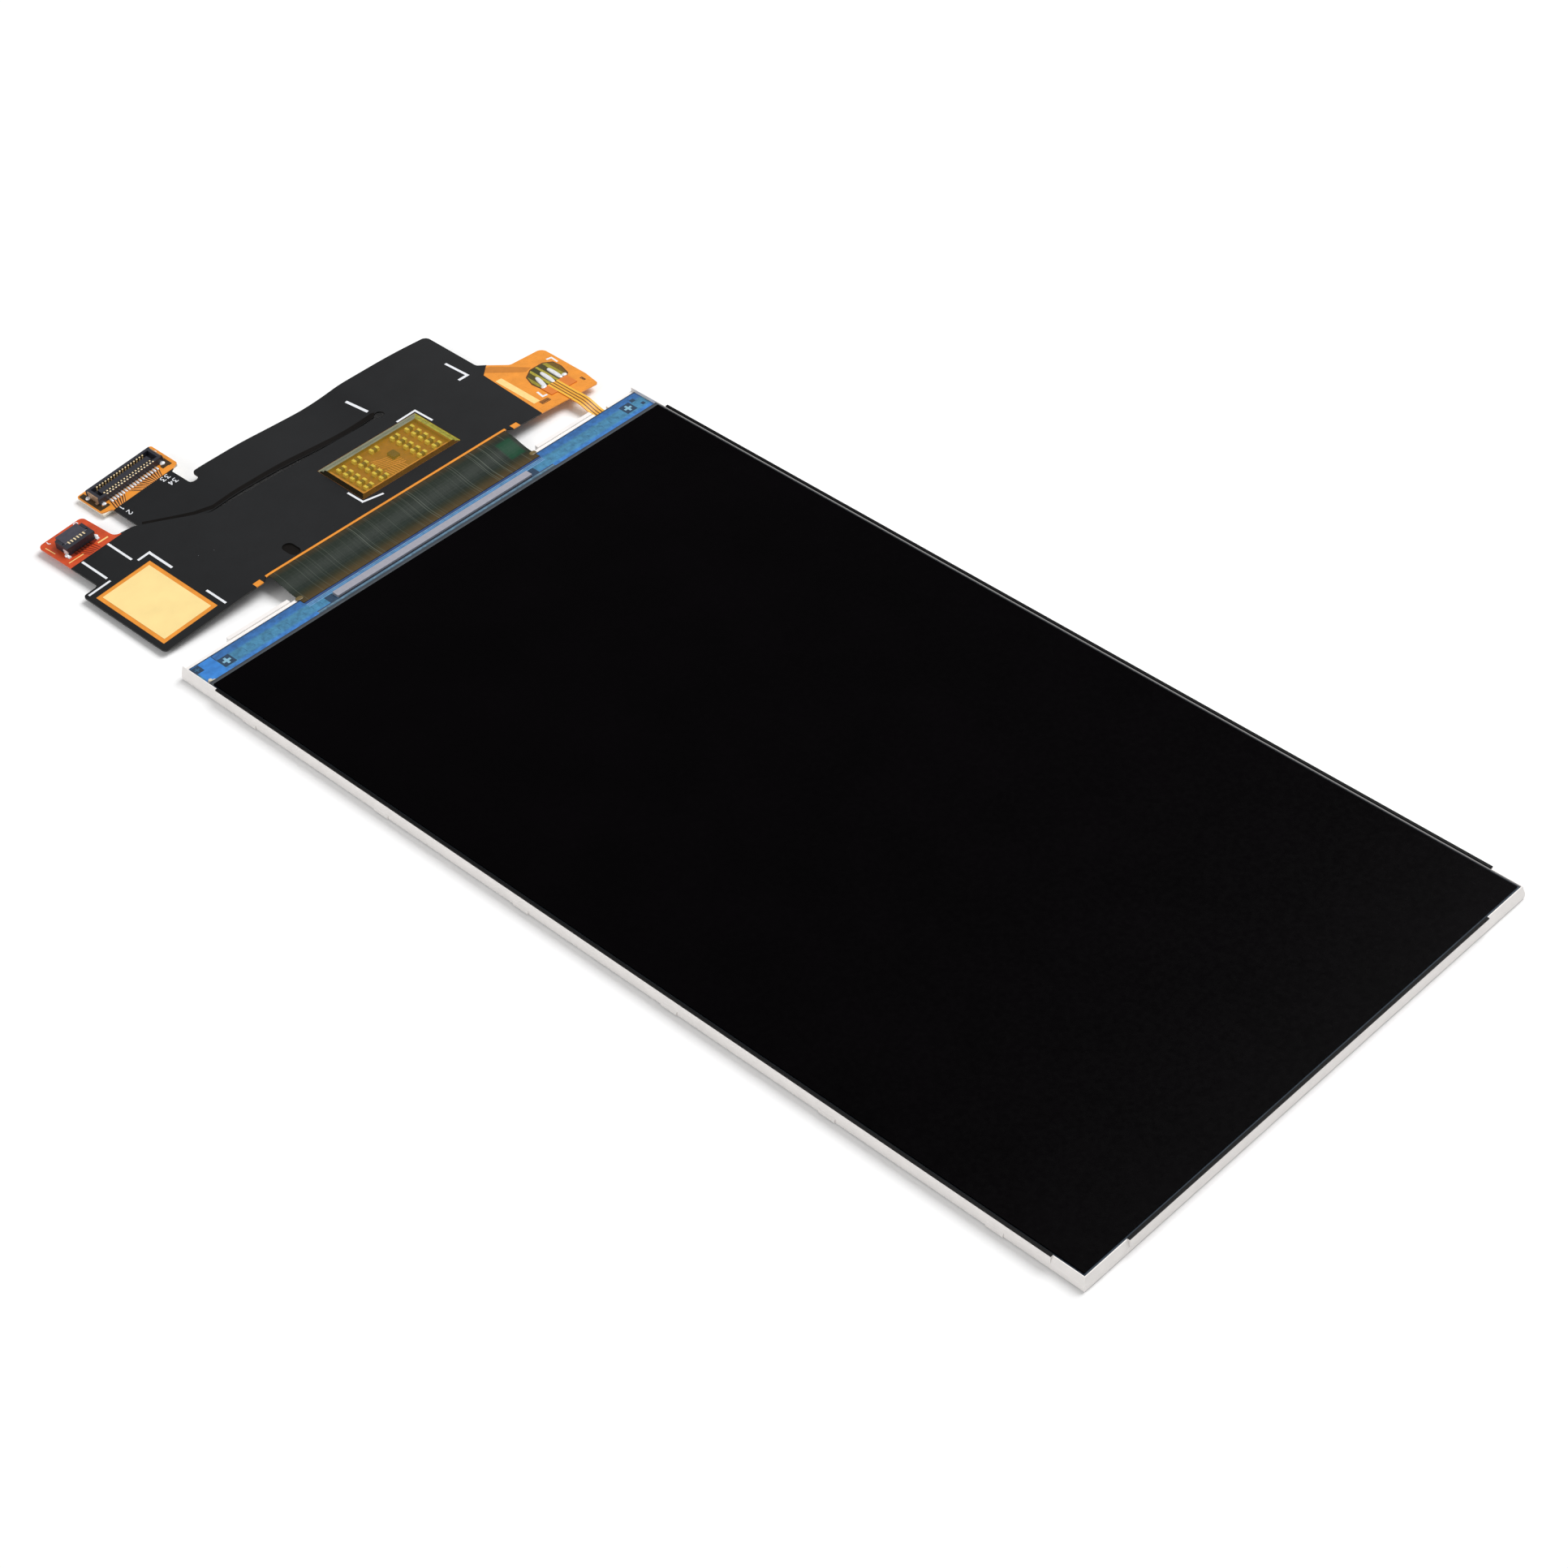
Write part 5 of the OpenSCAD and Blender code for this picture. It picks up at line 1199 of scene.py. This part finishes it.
@dataclass
class BoardConnector:
    """Receptacle with two rows of contacts on its tab."""

    nodes: dict[str, bpy.types.Object]
    drape: Drape
    x: float = -15.9
    y: float = 90.25
    pitch: float = 0.4
    count: int = 17
    depth: float = 2.4
    half: float = 4.45

    def seat(self) -> Matrix:
        """Where the connector sits on the arm."""
        z = self.drape.profile(self.x, True)
        return Matrix.Translation((self.x, self.y, z)) @ Matrix.Rotation(math.radians(-6.0), 4, "Y")

    def dress(self) -> None:
        """Gives the housing, contacts, clips and stiffener their finishes."""
        coat_node(self.nodes, "board_housing", Finishes.resin)
        coat_node(self.nodes, "board_contacts", Finishes.contact)
        coat_node(self.nodes, "board_clips", Finishes.clip)
        coat_node(self.nodes, "board_stiffener", Finishes.laminate)

    def solder(self) -> None:
        """Builds the solder on every tail and on the hold-down feet."""
        rows = [((i - (self.count - 1) / 2) * self.pitch, s * (self.depth / 2 + 0.33), 0.05)
                for s in (-1, 1) for i in range(self.count)]
        fillets = Repeater("board_tail_solder", Shape.DOME, (0.24, 0.68, 0.26), Finishes.solder, jitter=0.08)
        settle(fillets.build(rows, self.seat()))
        feet = [(sx * at_x, at_y, 0.07) for sx in (-1, 1) for at_x, at_y in ((4.63, 0.72), (4.1, -1.36))]
        blobs = Repeater("board_foot_solder", Shape.DOME, (0.6, 0.56, 0.32), Finishes.solder, jitter=0.1, seed=9)
        settle(blobs.build(feet, self.seat()))
        middle = (self.count - 1) / 2
        tips = [((i - middle) * self.pitch, y, z) for i in range(self.count)
                for y, z in ((0.79, 0.66), (-0.43, 0.53), (-1.08, 0.79))]
        ends = Repeater("board_contact_tips", Shape.DOME, (0.21, 0.22, 0.14), Finishes.contact_tip, jitter=0.05)
        settle(ends.build(tips, self.seat()))


@dataclass
class KeyConnector:
    """Small flat-cable connector with its flip lock."""

    nodes: dict[str, bpy.types.Object]
    drape: Drape
    x: float = -26.45
    y: float = 85.65
    half: float = 1.85

    def seat(self) -> Matrix:
        """Where the connector sits on the left wing."""
        z = self.drape.profile(self.x, False)
        return Matrix.Translation((self.x, self.y, z)) @ Matrix.Rotation(math.radians(-5.0), 4, "Y")

    def dress(self) -> None:
        """Gives the housing, contacts, clips, lock and stiffener their finishes."""
        coat_node(self.nodes, "key_housing", Finishes.resin)
        coat_node(self.nodes, "key_contacts", Finishes.key_contact)
        coat_node(self.nodes, "key_clips", Finishes.solder)
        coat_node(self.nodes, "flip_lock", Finishes.lock_resin)
        coat_node(self.nodes, "key_stiffener", Finishes.red)

    def solder(self) -> None:
        """Builds the bright contact tips and the solder on the hold-down feet."""
        tips = [((i - 2.5) * 0.4, -0.53, 0.9) for i in range(6)]
        beams = Repeater("key_contact_tips", Shape.BOX, (0.2, 0.6, 0.05), Finishes.contact_tip, jitter=0.03)
        settle(beams.build(tips, self.seat()))
        feet = [(s * (self.half + 0.12), -1.1, 0.1) for s in (-1, 1)]
        blobs = Repeater("key_foot_solder", Shape.DOME, (0.5, 0.6, 0.36), Finishes.solder, jitter=0.1, seed=2)
        settle(blobs.build(feet, self.seat()))


@dataclass
class BacklightTail:
    """Tail of the diode strip, soldered on the right tab."""

    nodes: dict[str, bpy.types.Object]
    drape: Drape

    def dress(self) -> None:
        """Gives the tail its finish."""
        coat_node(self.nodes, "backlight_tail", Finishes.tail_film)

    def solder(self) -> None:
        """Builds the three long solder joints with a lump at the end of two of them."""
        bars = [((26.49, 70.4), (26.04, 68.55)), ((27.56, 70.79), (27.4, 68.67)), ((28.71, 70.84), (28.65, 68.75))]
        bm_objects = []
        for k, (a, b) in enumerate(bars):
            mid = ((a[0] + b[0]) / 2, (a[1] + b[1]) / 2)
            length = math.dist(a, b)
            turn = math.degrees(math.atan2(b[1] - a[1], b[0] - a[0]))
            z = self.drape.profile(mid[0], False)
            bm_objects.append(lump(f"tail_solder_{k}", (*mid, z + 0.05), (length + 0.3, 0.56, 0.3), turn, 3.0,
                                   seed=11 + k))
        for k, at in enumerate([(25.8, 68.56), (29.2, 68.79)]):
            z = self.drape.profile(at[0], False)
            bm_objects.append(lump(f"tail_solder_end_{k}", (*at, z + 0.08), (0.62, 0.5, 0.3), 0, 2.6, seed=21 + k))
        for k, piece in enumerate(bm_objects):
            dress(piece, Finishes.solder, stands_for=["tail_joints"] if k == 0 else ())


# Stage


@dataclass
class Studio:
    """White floor, soft lamps and the camera at the photograph's place."""

    azimuth: float = -46.13828
    elevation: float = 42.2933434
    roll: float = 1.05953574
    place: tuple[float, float, float] = (-190.762, -175.372, 237.105)
    lens: float = 82.684
    floor_glow: float = 0.015
    world_light: float = 0.34
    floor_radius: float = 290.0

    def camera(self) -> None:
        """Places the camera."""
        a, e, r = (math.radians(v) for v in (self.azimuth, self.elevation, self.roll))
        back = Vector((math.sin(a) * math.cos(e), -math.cos(a) * math.cos(e), math.sin(e)))
        right = (-back).cross(Vector((0, 0, 1))).normalized()
        up = right.cross(-back)
        x_axis = math.cos(r) * right - math.sin(r) * up
        y_axis = math.sin(r) * right + math.cos(r) * up
        data = bpy.data.cameras.new("camera")
        data.lens, data.sensor_width = self.lens, 36.0
        data.clip_start, data.clip_end = 0.01, 10.0
        camera = bpy.data.objects.new("camera", data)
        turn = Matrix((x_axis, y_axis, back)).transposed().to_4x4()
        camera.matrix_world = Matrix.Translation(Vector(self.place) * MM) @ turn
        bpy.context.scene.collection.objects.link(camera)
        bpy.context.scene.camera = camera

    def floor(self) -> None:
        """Builds the pale floor that keeps the object's shadow."""
        bm = bmesh.new()
        bmesh.ops.create_circle(bm, cap_ends=True, segments=96, radius=self.floor_radius)
        bmesh.ops.translate(bm, vec=(0, 0, -0.02), verts=bm.verts)
        floor = finish_mesh("floor", bm)
        made = bpy.data.materials.new("white_paper_floor")
        made.use_nodes = True
        tree = made.node_tree
        tree.nodes.clear()
        noise = add(tree, "ShaderNodeTexNoise", {"Scale": per_mm(30.0)})
        tone = add(tree, "ShaderNodeMapRange", {"Value": noise.outputs["Fac"], "To Min": 0.985, "To Max": 1.0})
        colour = add(tree, "ShaderNodeHueSaturation", {"Color": linear("#FAFAFA"), "Value": tone.outputs["Result"]})
        paper = add(tree, "ShaderNodeBsdfDiffuse", {"Color": colour.outputs["Color"]})
        glow = add(tree, "ShaderNodeEmission", {"Color": (1, 1, 1, 1), "Strength": self.floor_glow})
        both = add(tree, "ShaderNodeAddShader", {0: paper.outputs[0], 1: glow.outputs[0]})
        path = add(tree, "ShaderNodeLightPath")
        pick = add(tree, "ShaderNodeMixShader", {0: path.outputs["Is Camera Ray"], 1: paper.outputs[0],
                                                 2: both.outputs[0]})
        add(tree, "ShaderNodeOutputMaterial", {"Surface": pick.outputs[0]})
        floor.data.materials.append(made)

    def world(self) -> None:
        """Builds a white background and an even, soft light from above."""
        world = bpy.data.worlds.new("studio")
        world.use_nodes = True
        tree = world.node_tree
        tree.nodes.clear()
        soft = add(tree, "ShaderNodeBackground", {"Color": (1, 1, 1, 1), "Strength": self.world_light})
        white = add(tree, "ShaderNodeBackground", {"Color": (1, 1, 1, 1), "Strength": 1.0})
        path = add(tree, "ShaderNodeLightPath")
        pick = add(tree, "ShaderNodeMixShader", {0: path.outputs["Is Camera Ray"], 1: soft.outputs[0],
                                                 2: white.outputs[0]})
        add(tree, "ShaderNodeOutputWorld", {"Surface": pick.outputs[0]})
        bpy.context.scene.world = world

    def lamp(self, name: str, at: tuple[float, float, float], size: float, power: float) -> None:
        """Adds one square area lamp aimed at the module."""
        data = bpy.data.lights.new(name, "AREA")
        data.shape, data.size, data.energy = "SQUARE", size * MM, power
        lamp = bpy.data.objects.new(name, data)
        spot = Vector(at) * MM
        aim = (Vector((0, 20 * MM, 0)) - spot).normalized()
        lamp.matrix_world = Matrix.Translation(spot) @ aim.to_track_quat("-Z", "Y").to_matrix().to_4x4()
        bpy.context.scene.collection.objects.link(lamp)

    def build(self) -> None:
        """Builds the whole stage."""
        self.camera()
        self.floor()
        self.world()
        self.lamp("right_softbox", (330, -40, 540), 420, 3.7)
        self.lamp("left_softbox", (-560, 160, 330), 320, 1.2)
        bpy.context.scene.view_settings.view_transform = "Standard"


# Order of work


def main() -> None:
    """Builds the sub-assemblies in order."""
    logging.basicConfig(level=logging.INFO, format="%(name)s %(message)s")
    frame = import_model()
    nodes = frame["nodes"]
    Studio().build()
    Backlight(nodes).dress()
    cell = Cell(nodes)
    cell.dress()
    cell.marks()
    cell.blob()
    circuit = FlexCircuit(nodes)
    circuit.build_films()
    circuit.painted_slit_shade()
    circuit.print_marks()
    circuit.tab_details()
    circuit.key_details()
    circuit.board_details()
    stretch = BondStretch(nodes)
    stretch.dress()
    stretch.glue()
    field_parts = CapacitorField(nodes)
    field_parts.build_parts()
    field_parts.build_field()
    field_parts.build_tape()
    board = BoardConnector(nodes, circuit.drape)
    board.dress()
    board.solder()
    key = KeyConnector(nodes, circuit.drape)
    key.dress()
    key.solder()
    tail = BacklightTail(nodes, circuit.drape)
    tail.dress()
    tail.solder()


if __name__ == "__main__":
    main()
